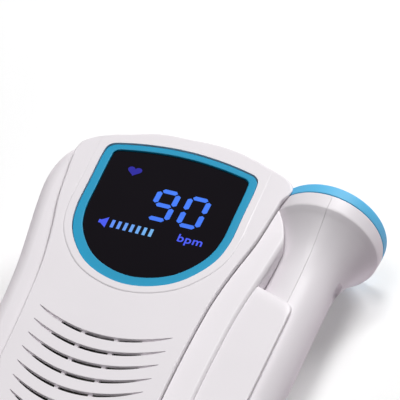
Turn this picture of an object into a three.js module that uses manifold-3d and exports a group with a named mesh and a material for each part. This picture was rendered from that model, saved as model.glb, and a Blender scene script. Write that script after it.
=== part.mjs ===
import * as THREE from 'three';
import { mergeVertices } from 'three/addons/utils/BufferGeometryUtils.js';
import Module from 'manifold-3d';

// Pocket fetal doppler: main unit with a display and a loudspeaker, and a hand probe in a side cradle.
// Millimetres. The back lies on z = 0, +Y points to the display end and +X to the probe.

const wasm = await Module();
wasm.setup();

// Main unit: overall sizes
const unitLength = 142;
const bodyHalfWidth = 37.3;
const coverHalfWidth = 31.8;
const faceHeight = 32;
const splitHeight = 16;
const halfLength = unitLength / 2;

// Plan outlines, top centre to bottom centre: [share of the half length, share of the half width]
const bodyOutlineShares = [
  [0.992, 0], [0.976, 0.322], [0.935, 0.59], [0.873, 0.804], [0.81, 0.928], [0.725, 0.989],
  [0.634, 1], [0.507, 0.976], [0.338, 0.93], [0.169, 0.885], [-0.042, 0.855], [-0.282, 0.836],
  [-0.535, 0.831], [-0.704, 0.804], [-0.852, 0.71], [-0.948, 0.509], [-0.99, 0.255], [-1, 0],
];
const coverOutlineShares = [
  [1, 0], [0.993, 0.252], [0.963, 0.535], [0.93, 0.755], [0.897, 0.887], [0.859, 0.965],
  [0.803, 1], [0.746, 0.994], [0.656, 0.972], [0.514, 0.931], [0.352, 0.855], [0.176, 0.789],
  [-0.028, 0.752], [-0.254, 0.73], [-0.479, 0.72], [-0.648, 0.704], [-0.789, 0.642],
  [-0.88, 0.487], [-0.927, 0.252], [-0.938, 0],
];

// Shells
const housingWall = 2.2;
const floorThickness = 2.4;
const wingDrop = 1.4;
const shoulderDrop = 5;
const shoulderInset = 4.6;
const bottomRise = 4;
const bottomInset = 3.2;
const coverDepth = 3.4;
const coverWall = 2.2;
const coverEdge = 1.5;
const coverSideWall = 2;
const coverLedge = 2.6;
const coverGap = 0.3;
const wingRoof = 4;
const overrun = 2;

// Display: a shield outline, [share of its height down from the top, share of its half width].
// Its top and bottom are shares of the unit's half length
const shieldHalfWidth = 23.3;
const shieldTopShare = 0.9183;
const shieldBottomShare = 0.1408;
const shieldTop = halfLength * shieldTopShare;
const shieldBottom = halfLength * shieldBottomShare;
const shieldHeight = shieldTop - shieldBottom;
const shieldOutlineShares = [
  [0, 0], [0.002, 0.19], [0.022, 0.558], [0.049, 0.83], [0.064, 0.925], [0.092, 0.982],
  [0.138, 1], [0.364, 0.996], [0.578, 0.983], [0.712, 0.91], [0.837, 0.738], [0.922, 0.541],
  [0.98, 0.27], [1, 0],
];
const bezelWidth = 2.9;
const bezelRecess = 0.5;
const bezelEdge = 0.3;
const windowRecess = 0.9;
const windowThickness = 1.4;
const displayGap = 0.2;
const displayPadMargin = 2.5;
const displayOpeningInset = 5;

// Seven-segment digits and level bars on the display module
const moduleHalfWidth = 17;
const moduleTopMargin = 8.2;
const moduleBottomMargin = 7;
const moduleTop = shieldTop - moduleTopMargin;
const moduleBottom = shieldBottom + moduleBottomMargin;
const moduleCentreY = (moduleTop + moduleBottom) / 2;
const moduleGap = 0.3;
const segmentRise = 0.3;
const segmentWidth = 1.3;
const digitWidth = 5.2;
const digitHeight = 9.6;
const digitCentresX = [0.6, 9.4];
const digitAboveCentre = 8.5;
const digitCentreY = moduleCentreY + digitAboveCentre;
const barCount = 7;
const barPitch = 1.9;
const barWidth = 0.8;
const barLength = 2.6;
const firstBarX = -13.2;
const barBelowCentre = 0.5;
const barCentreY = moduleCentreY - barBelowCentre;

// Buttons and their switches, set out from the lower end
const buttonEndMargin = 19;
const buttonY = -halfLength + buttonEndMargin;
const buttonSpacing = 12.4;
const powerRadius = 4.4;
const volumeHalfLength = 4.6;
const volumeHalfWidth = 3.3;
const buttonGap = 0.3;
const buttonProud = 0.7;
const buttonTravel = 0.6;
const buttonFlange = 0.9;
const buttonFlangeThickness = 1.1;
const buttonFlangeGap = 0.2;
const buttonEdge = 0.5;
const buttonStemRadius = 1.5;
const switchSide = 6;
const switchHeight = 3.1;
const switchPlungerRadius = 1.7;
const switchPlungerRise = 1.2;
const switchPlungerGap = 0.15;

// Loudspeaker: it sits between the buttons and the display, nearer the buttons
const speakerRadius = 19;
const speakerPlaceShare = 0.29;
const speakerRoomLow = buttonY + powerRadius + buttonFlange + speakerRadius;
const speakerRoomHigh = shieldBottom - displayPadMargin - speakerRadius;
const speakerCentreY = speakerRoomLow + (speakerRoomHigh - speakerRoomLow) * speakerPlaceShare;

// Loudspeaker grille: sagging crescent slots with two bridges each
const slotPitch = 5.15;
const slotWidth = 1.1;
const slotSag = 5.8;
const firstSlotRise = 18.4;
const firstSlotY = speakerCentreY + firstSlotRise;
const slotHalfLengths = [19.3, 19.05, 18.8, 18.6, 18, 17.2, 16];
const slotOpenHalfLengths = [11.3, 12.9, 14, 15, 15.4, 15, 13.6];
const slotGrooveDepth = 0.9;
const bridgeCentre = 4.8;
const bridgeWidth = 1.2;
const grooveSteps = 6;
const slotOpeningSteps = 3;

// Loudspeaker parts
const speakerRim = 2.4;
const speakerMouthRadius = speakerRadius - speakerRim;
const speakerFlange = 1;
const speakerBasketDepth = 3.8;
const speakerBackRadius = 10.5;
const speakerNeckRadius = 6;
const basketWall = 0.8;
const magnetRadius = 9;
const magnetGap = 0.2;
const gasketThickness = 0.5;
const coneThickness = 0.5;
const coneNeckRadius = 4;
const coneGap = 0.3;
const dustCapRise = 1.6;

// Probe: its axis leans outwards a little, as the handle does beside the waisted body
const headRadius = 17.3;
const cradleX = 27.8;
const probeFrontX = cradleX + headRadius;
const probeFrontMargin = 8.9;
const probeFrontY = halfLength - probeFrontMargin;
const probeClearance = 0.5;

// Screws that hold the shells together: the upper pair clears the head's room in the cradle
const bossRadius = 2.8;
const bossMargin = 0.5;
const upperScrewX = cradleX - probeClearance - housingWall - bossRadius - bossMargin;
const screwCornerMargin = 2.6;
const lowerScrewShare = -0.7042;
const lowerScrewY = halfLength * lowerScrewShare;

// Boards
const boardHalfWidth = 20;
const boardBossGap = 0.7;
const boardEndMargin = 11;
const boardBottom = -halfLength + boardEndMargin;
const boardThickness = 1.6;
const boardPostX = 17;
const boardPostMargin = 5;
const boardPostY = moduleBottom - boardPostMargin;
const boardPostRadius = 2.4;
const boardScrewRadius = 0.9;
const boardScrewHeadRadius = 1.9;
const boardScrewHead = 1;
const boardScrewLength = 7;
const screwGap = 0.15;
const processorSide = 10;
const processorThickness = 1;
const processorMargin = 10;
const processorY = moduleBottom - processorMargin;
const amplifierWidth = 6;
const amplifierLength = 5;
const amplifierX = -10.5;
const amplifierThickness = 1.2;

// Batteries, their bay and its door
const cellRadius = 7.25;
const cellLength = 49.5;
const cellNubRadius = 2.7;
const cellNub = 1;
const cellSideGap = 0.6;
const cellPitch = cellRadius * 2 + cellSideGap;
const cellGap = 0.35;
const bayWall = 1.3;
const bayRoof = 1;
const bayEndMargin = 9.1;
const contactThickness = 0.5;
const contactSideMargin = 1.3;
const contactHeightMargin = 2.25;
const contactHalfWidth = cellPitch / 2 + cellRadius - contactSideMargin;
const contactHalfHeight = cellRadius - contactHeightMargin;
const springRadius = 3.4;
const springTipRadius = 2.2;
const springLength = 2.4;
const contactGap = 0.3;
const doorHalfWidth = 17.5;
const doorFlange = 1.5;
const doorFlangeThickness = 1;
const doorPlateThickness = 0.9;
const doorRecess = 0.3;
const doorGap = 0.3;
const doorTopMargin = 2.1;
const doorEndGap = 0.3;
const screwDoorMargin = 0.6;
const screwBoardMargin = 1.2;
const doorGrooveHalfWidth = doorHalfWidth + doorFlange + doorGap;
const lowerScrewX = bossRadius + Math.max(
  boardHalfWidth + screwBoardMargin,
  doorGrooveHalfWidth + bayWall + screwDoorMargin,
);

// Screws
const upperBossSplit = 20;
const screwRadius = 1.2;
const screwHeadRadius = 2.3;
const screwHeadThickness = 1.5;
const screwHeadDepth = 1.2;
const screwBite = 6;
const screwTipGap = 0.5;

// Sockets in the lower end wall
const jackX = -14;
const jackWidth = 6.4;
const jackBodyHeight = 5;
const jackSwitchGap = 1;
const jackNoseRadius = 2.6;
const jackBoreRadius = 1.8;
const jackBoreDepth = 9;
const jackNoseProud = 0.3;
const socketGap = 0.25;
const glandX = 8;
const glandRadius = 3.1;
const glandFlangeRadius = 3.9;
const glandFlangeThickness = 1.4;
const glandProud = 4.5;
const glandTipRadius = 2.4;
const glandBoreRadius = 1.3;
const glandBoreDepth = 6;

// Probe: angles, head and handle
const probeYaw = THREE.MathUtils.degToRad(2.6);
const probeSeamTurn = THREE.MathUtils.degToRad(4);
const headGroundClearance = 1.1;
const headEdge = 1.3;
const ringLength = 4.7;
const rimLength = 5.1;
const flareLength = 17;
const flareExponent = 1.5;
const handleRadius = 9.4;
const probeLength = 115;
const tailLength = 7;
const tailRadius = 5.4;
const probeWall = 1.8;
const seamGap = 0.3;
const gripBehind = 26;
const gripLength = 9;
const gripHalfWidth = 1.3;
const gripDepth = 1.1;

// Probe: acoustic head
const faceRecess = 0.4;
const faceThickness = 2.4;
const ringLip = 2.8;
const ringSeat = 2.2;
const headGap = 0.3;
const crystalMargin = 2.1;
const crystalThickness = 0.9;
const crystalSplit = 1.2;
const backingMargin = 0.5;
const ringBoreRadius = headRadius - ringLip - ringSeat;
const crystalRadius = ringBoreRadius - crystalMargin;
const backingRadius = ringBoreRadius - backingMargin;
const backingLength = 5.2;
const probeBoardEndMargin = 19;
const probeBoardStart = 34;
const probeBoardLength = probeLength - probeBoardStart - probeBoardEndMargin;
const probeBoardThickness = 1.2;
const probeGlandRadius = 3.2;
const probeGlandLength = 7;
const probeGlandTipRadius = 2.5;
const probeGlandFlangeRadius = 4.6;
const probeGlandFlange = 1.6;

// Cradle: the arm over the handle and the trough under it, set out from the probe's axis
const armRoof = 0.9;
const armReach = 2.9;
const armRootInset = 1.3;
const armRoot = headRadius - armRootInset;
const armStart = 41.6;
const armEndMargin = 15;
const armEnd = probeLength - armEndMargin;
const armStartSlope = 0.288;
const armInnerCorner = 0.4;
const armCorner = housingWall + armInnerCorner;
const armEdge = 0.5;

// Facets
const outlineSteps = 56;
const shieldSteps = 40;
const roundSteps = 3;
const roundSegments = 24;
const smallSegments = 12;
const buttonSegments = 18;
const probeSegments = 36;
const flareSteps = 6;
const cornerSteps = 3;
const mergeDistance = 0.0001;

// Heights worked out from the sizes above
const coverSeat = faceHeight - coverDepth;
const coverUnderside = faceHeight - coverWall;
const wingTop = faceHeight - wingDrop;
const cavityTop = wingTop - wingRoof;
const doorFlangeLow = doorRecess + doorPlateThickness;
const doorFlangeHigh = doorFlangeLow + doorFlangeThickness;
const cellHeight = floorThickness + cellGap + cellRadius;
const bayRoofLow = cellHeight + cellRadius + cellGap;
const boardLow = bayRoofLow + bayRoof;
const boardHigh = boardLow + boardThickness;
const probeHeight = headGroundClearance + headRadius;
const armTop = probeHeight + handleRadius + probeClearance + armRoof;
const bayBottom = -halfLength + bayEndMargin;
const cellBottom = bayBottom + springLength + contactGap;
const cellTop = cellBottom + cellLength + cellNub;
const bayTop = cellTop + contactGap + contactThickness;
const bayLength = bayTop - bayBottom;
const doorTop = bayTop + doorTopMargin;

// Finishes
const finish = (color, roughness, metalness = 0) =>
  new THREE.MeshStandardMaterial({ color, roughness, metalness });
const whitePlastic = finish('#eae7eb', 0.42);
const bluePlastic = finish('#35a2cb', 0.38);
const blackGlass = finish('#0d0a18', 0.08);
const darkPlastic = finish('#26262c', 0.5);
const boardGreen = finish('#1f6b3c', 0.55);
const chipBlack = finish('#17171a', 0.6);
const steel = finish('#b9bcc2', 0.3, 1);
const paperCone = finish('#3a3733', 0.9);
const foamGrey = finish('#55565c', 0.95);
const cellJacket = finish('#3c4a57', 0.4, 0.3);
const greyButton = finish('#c9ced6', 0.45);
const acousticGrey = finish('#d3d2d0', 0.5);
const ceramic = finish('#c8b98f', 0.6);
const epoxy = finish('#4a4038', 0.7);

// Solids from geometry
const toSolid = (geometry) => {
  geometry.deleteAttribute('normal');
  geometry.deleteAttribute('uv');
  const merged = mergeVertices(geometry, mergeDistance);
  const vertProperties = new Float32Array(merged.attributes.position.array);
  const triVerts = new Uint32Array(merged.index.array);
  return new wasm.Manifold(new wasm.Mesh({ numProp: 3, vertProperties, triVerts }));
};

const closedCurve = (points, steps) => {
  const curve = new THREE.CatmullRomCurve3(points, true, 'centripetal');
  return curve.getPoints(steps).slice(0, -1).map((point) => new THREE.Vector2(point.x, point.y));
};

const mirroredOutline = (shares, halfWidth, yOf, steps) => {
  const left = shares.map(([along, across]) => new THREE.Vector3(-across * halfWidth, yOf(along), 0));
  const right = left.slice(1, -1).reverse().map((point) => new THREE.Vector3(-point.x, point.y, 0));
  return closedCurve([...left, ...right], steps);
};

const inset = (outline, amount) => {
  const box = new THREE.Box2().setFromPoints(outline);
  const centre = box.getCenter(new THREE.Vector2());
  const size = box.getSize(new THREE.Vector2());
  const scale = new THREE.Vector2(1 - (2 * amount) / size.x, 1 - (2 * amount) / size.y);
  return outline.map((point) => point.clone().sub(centre).multiply(scale).add(centre));
};

// A solid through rings of one outline, each at [height, inset]
const loft = (outline, levels) => {
  const positions = levels.flatMap(([height, amount]) =>
    inset(outline, amount).flatMap((point) => [point.x, point.y, height]));
  const count = outline.length;
  const index = [];
  for (let ring = 0; ring < levels.length - 1; ring += 1) {
    for (let step = 0; step < count; step += 1) {
      const here = ring * count + step;
      const next = ring * count + ((step + 1) % count);
      index.push(here, next, next + count, here, next + count, here + count);
    }
  }
  const top = (levels.length - 1) * count;
  THREE.ShapeUtils.triangulateShape(outline, []).forEach(([a, b, c]) => {
    index.push(c, b, a);
    index.push(top + a, top + b, top + c);
  });
  const geometry = new THREE.BufferGeometry();
  geometry.setAttribute('position', new THREE.Float32BufferAttribute(positions, 3));
  geometry.setIndex(index);
  return toSolid(geometry);
};

const prism = (outline, low, high) => loft(outline, [[low, 0], [high, 0]]);

// Levels of a quarter-round edge that ends at the given height, rising or falling towards it
const roundedLevels = (end, rise, amount) => {
  const steps = Array.from({ length: roundSteps + 1 }, (unused, step) => step / roundSteps);
  const quarter = Math.PI / 2;
  return steps.map((share) => [
    end - rise * (1 - Math.sin(share * quarter)),
    amount * (1 - Math.cos(share * quarter)),
  ]);
};

const block = (centre, size) => {
  const geometry = new THREE.BoxGeometry(...size);
  geometry.translate(...centre);
  return toSolid(geometry);
};

const post = (radius, low, high, x, y, segments = smallSegments, topRadius = radius) => {
  const geometry = new THREE.CylinderGeometry(topRadius, radius, high - low, segments);
  geometry.rotateX(Math.PI / 2);
  geometry.translate(x, y, (low + high) / 2);
  return toSolid(geometry);
};

// A round piece lying along Y, with its end towards -Y at the low value
const rod = (lowRadius, highRadius, low, high, x, z, segments = smallSegments) => {
  const geometry = new THREE.CylinderGeometry(highRadius, lowRadius, high - low, segments);
  geometry.translate(x, (low + high) / 2, z);
  return toSolid(geometry);
};

const turned = (profile, segments) => {
  const points = profile.map(([radius, height]) => new THREE.Vector2(radius, height));
  return new THREE.LatheGeometry(points, segments);
};

const turnedUpright = (profile, x, y, segments = roundSegments) => {
  const geometry = turned(profile, segments);
  geometry.rotateX(Math.PI / 2);
  geometry.translate(x, y, 0);
  return toSolid(geometry);
};

const cutAll = (solid, cutters) => cutters.reduce((left, cutter) => left.subtract(cutter), solid);

const joinAll = (solids) => solids.reduce((joined, solid) => joined.add(solid));

const node = (name, solid, material) => {
  const mesh = solid.getMesh();
  const geometry = new THREE.BufferGeometry();
  geometry.setAttribute('position', new THREE.BufferAttribute(mesh.vertProperties, mesh.numProp));
  geometry.setIndex(new THREE.BufferAttribute(mesh.triVerts, 1));
  const piece = new THREE.Mesh(geometry, material);
  piece.name = name;
  return piece;
};

// Outlines of the unit
const alongUnit = (share) => share * halfLength;
const bodyOutline = mirroredOutline(bodyOutlineShares, bodyHalfWidth, alongUnit, outlineSteps);
const coverOutline = mirroredOutline(coverOutlineShares, coverHalfWidth, alongUnit, outlineSteps);
const alongShield = (share) => shieldTop - share * shieldHeight;
const shieldOutline = mirroredOutline(shieldOutlineShares, shieldHalfWidth, alongShield, shieldSteps);

// Outer surface of the probe: [distance behind its front, radius], with an allowance all round
const flareStart = ringLength + rimLength;
const flareProfile = (allowance) => Array.from({ length: flareSteps + 1 }, (unused, step) => {
  const share = step / flareSteps;
  const radius = handleRadius + (headRadius - handleRadius) * (1 - share) ** flareExponent;
  return [radius + allowance, -flareStart - share * flareLength];
});

const tailProfile = (allowance) => Array.from({ length: cornerSteps + 1 }, (unused, step) => {
  const turn = (step / cornerSteps) * (Math.PI / 2);
  const radius = tailRadius + (handleRadius - tailRadius) * Math.cos(turn);
  return [radius + allowance, -probeLength + tailLength * (1 - Math.sin(turn))];
});

const placeAtProbe = (geometry) => {
  geometry.rotateZ(-probeYaw);
  geometry.translate(probeFrontX, probeFrontY, probeHeight);
  return geometry;
};

// The room that the probe needs, open towards both ends so that it slides out along its axis
const probeRoom = (allowance) => {
  const roomEnd = -probeLength - probeGlandLength - overrun;
  const profile = [
    [0, overrun + headRadius],
    [headRadius + allowance, overrun + headRadius],
    ...flareProfile(allowance),
    [handleRadius + allowance, roomEnd],
    [0, roomEnd],
  ];
  return toSolid(placeAtProbe(turned(profile.reverse(), probeSegments)));
};

const room = probeRoom(probeClearance);
const walledRoom = probeRoom(probeClearance + housingWall);

// Plan of the arm and trough, set out across and behind the probe's front
const armOutline = (margin) => {
  const reach = armReach - margin;
  const start = -armStart - margin;
  const end = -armEnd + margin;
  const slope = armStartSlope * (reach + armRoot);
  const corner = armCorner - margin;
  const shape = new THREE.Shape();
  shape.moveTo(-armRoot, start + slope);
  shape.lineTo(-armRoot, end - slope);
  shape.lineTo(reach - corner, end - armStartSlope * corner);
  shape.quadraticCurveTo(reach, end, reach, end + corner);
  shape.lineTo(reach, start - corner);
  shape.quadraticCurveTo(reach, start, reach - corner, start + armStartSlope * corner);
  const turn = new THREE.Vector2();
  const front = new THREE.Vector2(probeFrontX, probeFrontY);
  return shape.getPoints(cornerSteps).map((point) => point.clone().rotateAround(turn, -probeYaw).add(front));
};

// Screw places: the upper pair sits in the corners of the cover's outline, the board ends short of it
const outlineTopAt = (outline, x) => {
  const spans = outline.map((point, index) => [point, outline[(index + 1) % outline.length]]);
  const crossings = spans.filter(([from, to]) => (from.x - x) * (to.x - x) <= 0);
  return Math.max(...crossings.map(([from, to]) =>
    from.y + ((to.y - from.y) * (x - from.x)) / (to.x - from.x)));
};
const coverCorner = outlineTopAt(coverOutline, upperScrewX + bossRadius);
const upperScrewY = coverCorner - coverLedge - screwCornerMargin;
const boardTop = upperScrewY - bossRadius - boardBossGap;
const upperScrews = [-upperScrewX, upperScrewX].map((x) => [x, upperScrewY]);
const lowerScrews = [-lowerScrewX, lowerScrewX].map((x) => [x, lowerScrewY]);
const boardScrews = [-boardPostX, boardPostX].map((x) => [x, boardPostY]);

const screwTip = (low) => low + screwBite;

// Lower end of the unit, where the sockets leave the shells
const endWallInside = -halfLength + housingWall;
const jackHeight = boardHigh + jackBodyHeight / 2;

// Buttons: outline, name and place across the cover
const roundOutline = (halfX, halfY, x, y) => Array.from({ length: buttonSegments }, (unused, step) => {
  const angle = (step / buttonSegments) * Math.PI * 2;
  return new THREE.Vector2(x + halfX * Math.cos(angle), y + halfY * Math.sin(angle));
});
const buttons = [
  { name: 'volume_down_button', halfX: volumeHalfLength, halfY: volumeHalfWidth, x: -buttonSpacing },
  { name: 'power_button', halfX: powerRadius, halfY: powerRadius, x: 0 },
  { name: 'volume_up_button', halfX: volumeHalfLength, halfY: volumeHalfWidth, x: buttonSpacing },
];
const buttonOutline = ({ halfX, halfY, x }, margin) =>
  roundOutline(halfX + margin, halfY + margin, x, buttonY);

// Grille slots
const slotStrip = (slot, from, to, steps) => {
  const half = slotHalfLengths[slot];
  const top = firstSlotY - slot * slotPitch;
  const stations = Array.from({ length: steps + 1 }, (unused, step) => from + ((to - from) * step) / steps);
  const middle = (x) => top - slotSag * (1 - (x / half) ** 2);
  const halfWidth = (x) => (slotWidth / 2) * Math.sqrt(1 - (x / half) ** 2);
  const lower = stations.map((x) => new THREE.Vector2(x, middle(x) - halfWidth(x)));
  const upper = stations.map((x) => new THREE.Vector2(x, middle(x) + halfWidth(x))).reverse();
  return [...lower, ...upper];
};

const slotCuts = () => slotHalfLengths.flatMap((half, slot) => {
  const open = slotOpenHalfLengths[slot];
  const inner = bridgeCentre - bridgeWidth / 2;
  const outer = bridgeCentre + bridgeWidth / 2;
  const tip = half - slotWidth / 2;
  const grooveFloor = faceHeight - slotGrooveDepth;
  const groove = prism(slotStrip(slot, -tip, tip, grooveSteps), grooveFloor, faceHeight + overrun);
  const openings = [[-open, -outer], [-inner, inner], [outer, open]].map(([from, to]) =>
    prism(slotStrip(slot, from, to, slotOpeningSteps), coverUnderside - overrun, faceHeight));
  return [groove, ...openings];
});

// Front cover
const frontCover = () => {
  const plate = loft(coverOutline, [[coverSeat, 0], ...roundedLevels(faceHeight, coverEdge, coverEdge)]);
  const pad = prism(inset(shieldOutline, -displayPadMargin), coverSeat - overrun, faceHeight);
  const hollow = prism(inset(coverOutline, coverSideWall), coverSeat - overrun, coverUnderside).subtract(pad);
  const windowSeat = faceHeight - windowRecess - windowThickness;
  const recess = prism(inset(shieldOutline, -displayGap), windowSeat, faceHeight + overrun);
  const opening = prism(inset(shieldOutline, displayOpeningInset), coverSeat - overrun, faceHeight);
  const holes = buttons.map((button) =>
    prism(buttonOutline(button, buttonGap), coverUnderside - overrun, faceHeight + overrun));
  const bosses = upperScrews.map(([x, y]) => post(bossRadius, upperBossSplit, coverSeat + screwGap, x, y));
  const pilots = upperScrews.map(([x, y]) =>
    post(screwRadius + screwGap, upperBossSplit - overrun, screwTip(upperBossSplit) + screwTipGap, x, y));
  const shell = cutAll(plate, [hollow, recess, opening, ...holes, ...slotCuts(), room]);
  return cutAll(joinAll([shell, ...bosses]), pilots);
};

// Blue ring round the window
const displayBezel = () => {
  const low = faceHeight - windowRecess - windowThickness;
  const high = faceHeight - bezelRecess;
  const outer = loft(shieldOutline, [[low, 0], ...roundedLevels(high, bezelEdge, bezelEdge)]);
  return outer.subtract(prism(inset(shieldOutline, bezelWidth), low - overrun, high + overrun));
};

const displayWindow = () => {
  const high = faceHeight - windowRecess;
  return prism(inset(shieldOutline, bezelWidth + displayGap), high - windowThickness, high);
};

// Display module with its raised segments
const digitSegmentShares = [
  { across: 0, along: 1, flat: true }, { across: 0, along: 0, flat: true },
  { across: 0, along: -1, flat: true }, { across: -1, along: 0.5, flat: false },
  { across: 1, along: 0.5, flat: false }, { across: -1, along: -0.5, flat: false },
  { across: 1, along: -0.5, flat: false },
];
const displayModule = () => {
  const high = coverSeat - moduleGap;
  const rise = segmentRise + moduleGap;
  const height = high + segmentRise - rise / 2;
  const body = block(
    [0, moduleCentreY, (boardHigh + high) / 2],
    [moduleHalfWidth * 2, moduleTop - moduleBottom, high - boardHigh],
  );
  const digits = digitCentresX.flatMap((x) => digitSegmentShares.map(({ across, along, flat }) => {
    const centre = [x + (across * digitWidth) / 2, digitCentreY + (along * digitHeight) / 2, height];
    const run = flat ? digitWidth - segmentWidth * 2 : digitHeight / 2 - segmentWidth * 2;
    const size = flat ? [run, segmentWidth, rise] : [segmentWidth, run, rise];
    return block(centre, size);
  }));
  const bars = Array.from({ length: barCount }, (unused, bar) =>
    block([firstBarX + bar * barPitch, barCentreY, height], [barWidth, barLength, rise]));
  return joinAll([body, ...digits, ...bars]);
};

// Upper housing with its shoulders and the arm over the handle
const upperHousing = () => {
  const outer = loft(bodyOutline, [[splitHeight, 0], ...roundedLevels(wingTop, shoulderDrop, shoulderInset)]);
  const arm = loft(armOutline(0), [[splitHeight, 0], [armTop - armEdge, 0], [armTop, armEdge]]);
  const inside = prism(inset(bodyOutline, housingWall), splitHeight - overrun, cavityTop);
  const mouth = prism(inset(coverOutline, coverLedge), splitHeight, coverSeat + overrun);
  const hollow = inside.add(mouth).subtract(walledRoom);
  const recess = prism(inset(coverOutline, -coverGap), coverSeat, faceHeight + overrun);
  const bosses = lowerScrews.map(([x, y]) => post(bossRadius, splitHeight, cavityTop + screwGap, x, y));
  const pilots = lowerScrews.map(([x, y]) =>
    post(screwRadius + screwGap, splitHeight - overrun, screwTip(splitHeight) + screwTipGap, x, y));
  const jackHole = rod(jackNoseRadius + socketGap, jackNoseRadius + socketGap,
    -halfLength - overrun, endWallInside + housingWall * 2, jackX, jackHeight);
  const shell = cutAll(outer.add(arm), [hollow, recess, room]);
  return cutAll(joinAll([shell, ...bosses]), [...pilots, jackHole, glandHole()]);
};

// Hole for the cable gland, half in each shell
const glandHole = () => {
  const inside = endWallInside + housingWall;
  const radius = glandRadius + socketGap;
  return rod(radius, radius, -halfLength - overrun, inside, glandX, splitHeight);
};

// Rear housing: floor, walls, trough, battery bay, posts and bosses
const rearHousing = () => {
  const outer = loft(bodyOutline, [
    ...roundedLevels(0, -bottomRise, bottomInset).reverse(),
    [splitHeight, 0],
  ]);
  const trough = loft(armOutline(0), [[0, bottomInset / 2], [bottomRise / 2, 0], [splitHeight, 0]]);
  const hollow = prism(inset(bodyOutline, housingWall), floorThickness, splitHeight + overrun);
  const troughHollow = prism(armOutline(housingWall), floorThickness, splitHeight + overrun);
  const bayMiddle = (bayTop + bayBottom) / 2;
  const bayHalfWidth = cellPitch / 2 + cellRadius + cellGap;
  const bayOuter = block(
    [0, bayMiddle, (floorThickness + boardLow) / 2],
    [(bayHalfWidth + bayWall) * 2, bayLength + bayWall * 2, boardLow - floorThickness],
  );
  const bayInner = block(
    [0, bayMiddle, (bayRoofLow - overrun) / 2],
    [bayHalfWidth * 2, bayLength, bayRoofLow + overrun],
  );
  const bayBaseTop = doorTop + doorGap + bayWall;
  const bayBaseBottom = bayBottom - bayWall;
  const bayBase = block(
    [0, (bayBaseTop + bayBaseBottom) / 2, floorThickness],
    [(doorGrooveHalfWidth + bayWall) * 2, bayBaseTop - bayBaseBottom, bayWall * 2],
  );
  const doorRun = doorTop + doorGap + halfLength + overrun;
  const doorMiddle = doorTop + doorGap - doorRun / 2;
  const doorSlot = block(
    [0, doorMiddle, 0],
    [(doorHalfWidth + doorGap) * 2, doorRun, floorThickness * 2],
  );
  const lipHigh = doorFlangeLow - doorGap / 2;
  const doorGroove = block(
    [0, doorMiddle, (lipHigh + floorThickness) / 2],
    [doorGrooveHalfWidth * 2, doorRun, floorThickness - lipHigh],
  );
  const shell = cutAll(outer.add(trough), [hollow.add(troughHollow).subtract(walledRoom), room]);
  const upperBosses = upperScrews.map(([x, y]) => post(bossRadius, floorThickness / 2, upperBossSplit, x, y));
  const lowerBosses = lowerScrews.map(([x, y]) => post(bossRadius, floorThickness / 2, splitHeight, x, y));
  const posts = boardScrews.map(([x, y]) => post(boardPostRadius, floorThickness / 2, boardLow, x, y));
  const pilots = boardScrews.map(([x, y]) =>
    post(boardScrewRadius + screwGap, boardLow - boardScrewLength, boardLow + overrun, x, y));
  const screwHoles = [...upperScrews, ...lowerScrews].flatMap(([x, y]) => [
    post(screwRadius + screwGap, -overrun, upperBossSplit + overrun, x, y),
    post(screwHeadRadius + screwGap * 2, -overrun, screwHeadDepth + screwHeadThickness, x, y),
  ]);
  const solid = joinAll([shell, bayOuter, bayBase, ...upperBosses, ...lowerBosses, ...posts]);
  return cutAll(solid, [bayInner, doorSlot, doorGroove, ...pilots, ...screwHoles, glandHole()]);
};

// Battery door: a plate with side flanges that run in the floor's grooves
const batteryDoor = () => {
  const run = doorTop + halfLength + overrun;
  const middle = doorTop - run / 2;
  const plate = block(
    [0, middle, (doorRecess + doorFlangeLow) / 2],
    [doorHalfWidth * 2, run, doorPlateThickness],
  );
  const flange = block(
    [0, middle, (doorFlangeLow + doorFlangeHigh) / 2],
    [(doorHalfWidth + doorFlange) * 2, run, doorFlangeThickness],
  );
  const end = loft(bodyOutline, [
    ...roundedLevels(0, -bottomRise, bottomInset).reverse(),
    [splitHeight, 0],
  ]);
  return plate.add(flange).intersect(end.intersect(prism(inset(bodyOutline, doorEndGap), 0, splitHeight)));
};

const cell = (x, turnedRound) => {
  const body = rod(cellRadius, cellRadius, cellBottom + (turnedRound ? cellNub : 0),
    cellTop - (turnedRound ? 0 : cellNub), x, cellHeight, roundSegments);
  const nub = turnedRound
    ? rod(cellNubRadius, cellNubRadius, cellBottom, cellBottom + cellNub + screwGap, x, cellHeight)
    : rod(cellNubRadius, cellNubRadius, cellTop - cellNub - screwGap, cellTop, x, cellHeight);
  return body.add(nub);
};

const contactPlate = () => block(
  [0, bayTop - contactThickness / 2, cellHeight],
  [contactHalfWidth * 2, contactThickness, contactHalfHeight * 2],
);

const contactSpring = (x) =>
  rod(springRadius, springTipRadius, bayBottom, cellBottom - contactGap, x, cellHeight);

// Main board, chips and switches
const mainBoard = () => {
  const middle = (boardTop + boardBottom) / 2;
  const plate = block(
    [0, middle, (boardLow + boardHigh) / 2],
    [boardHalfWidth * 2, boardTop - boardBottom, boardThickness],
  );
  const holes = boardScrews.map(([x, y]) =>
    post(boardScrewRadius + screwGap, boardLow - overrun, boardHigh + overrun, x, y));
  return cutAll(plate, holes);
};

const tactSwitch = (x) => {
  const body = block([x, buttonY, boardHigh + switchHeight / 2], [switchSide, switchSide, switchHeight]);
  const plunger = post(switchPlungerRadius, boardHigh + switchHeight / 2,
    boardHigh + switchHeight + switchPlungerRise, x, buttonY);
  return body.add(plunger);
};

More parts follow.
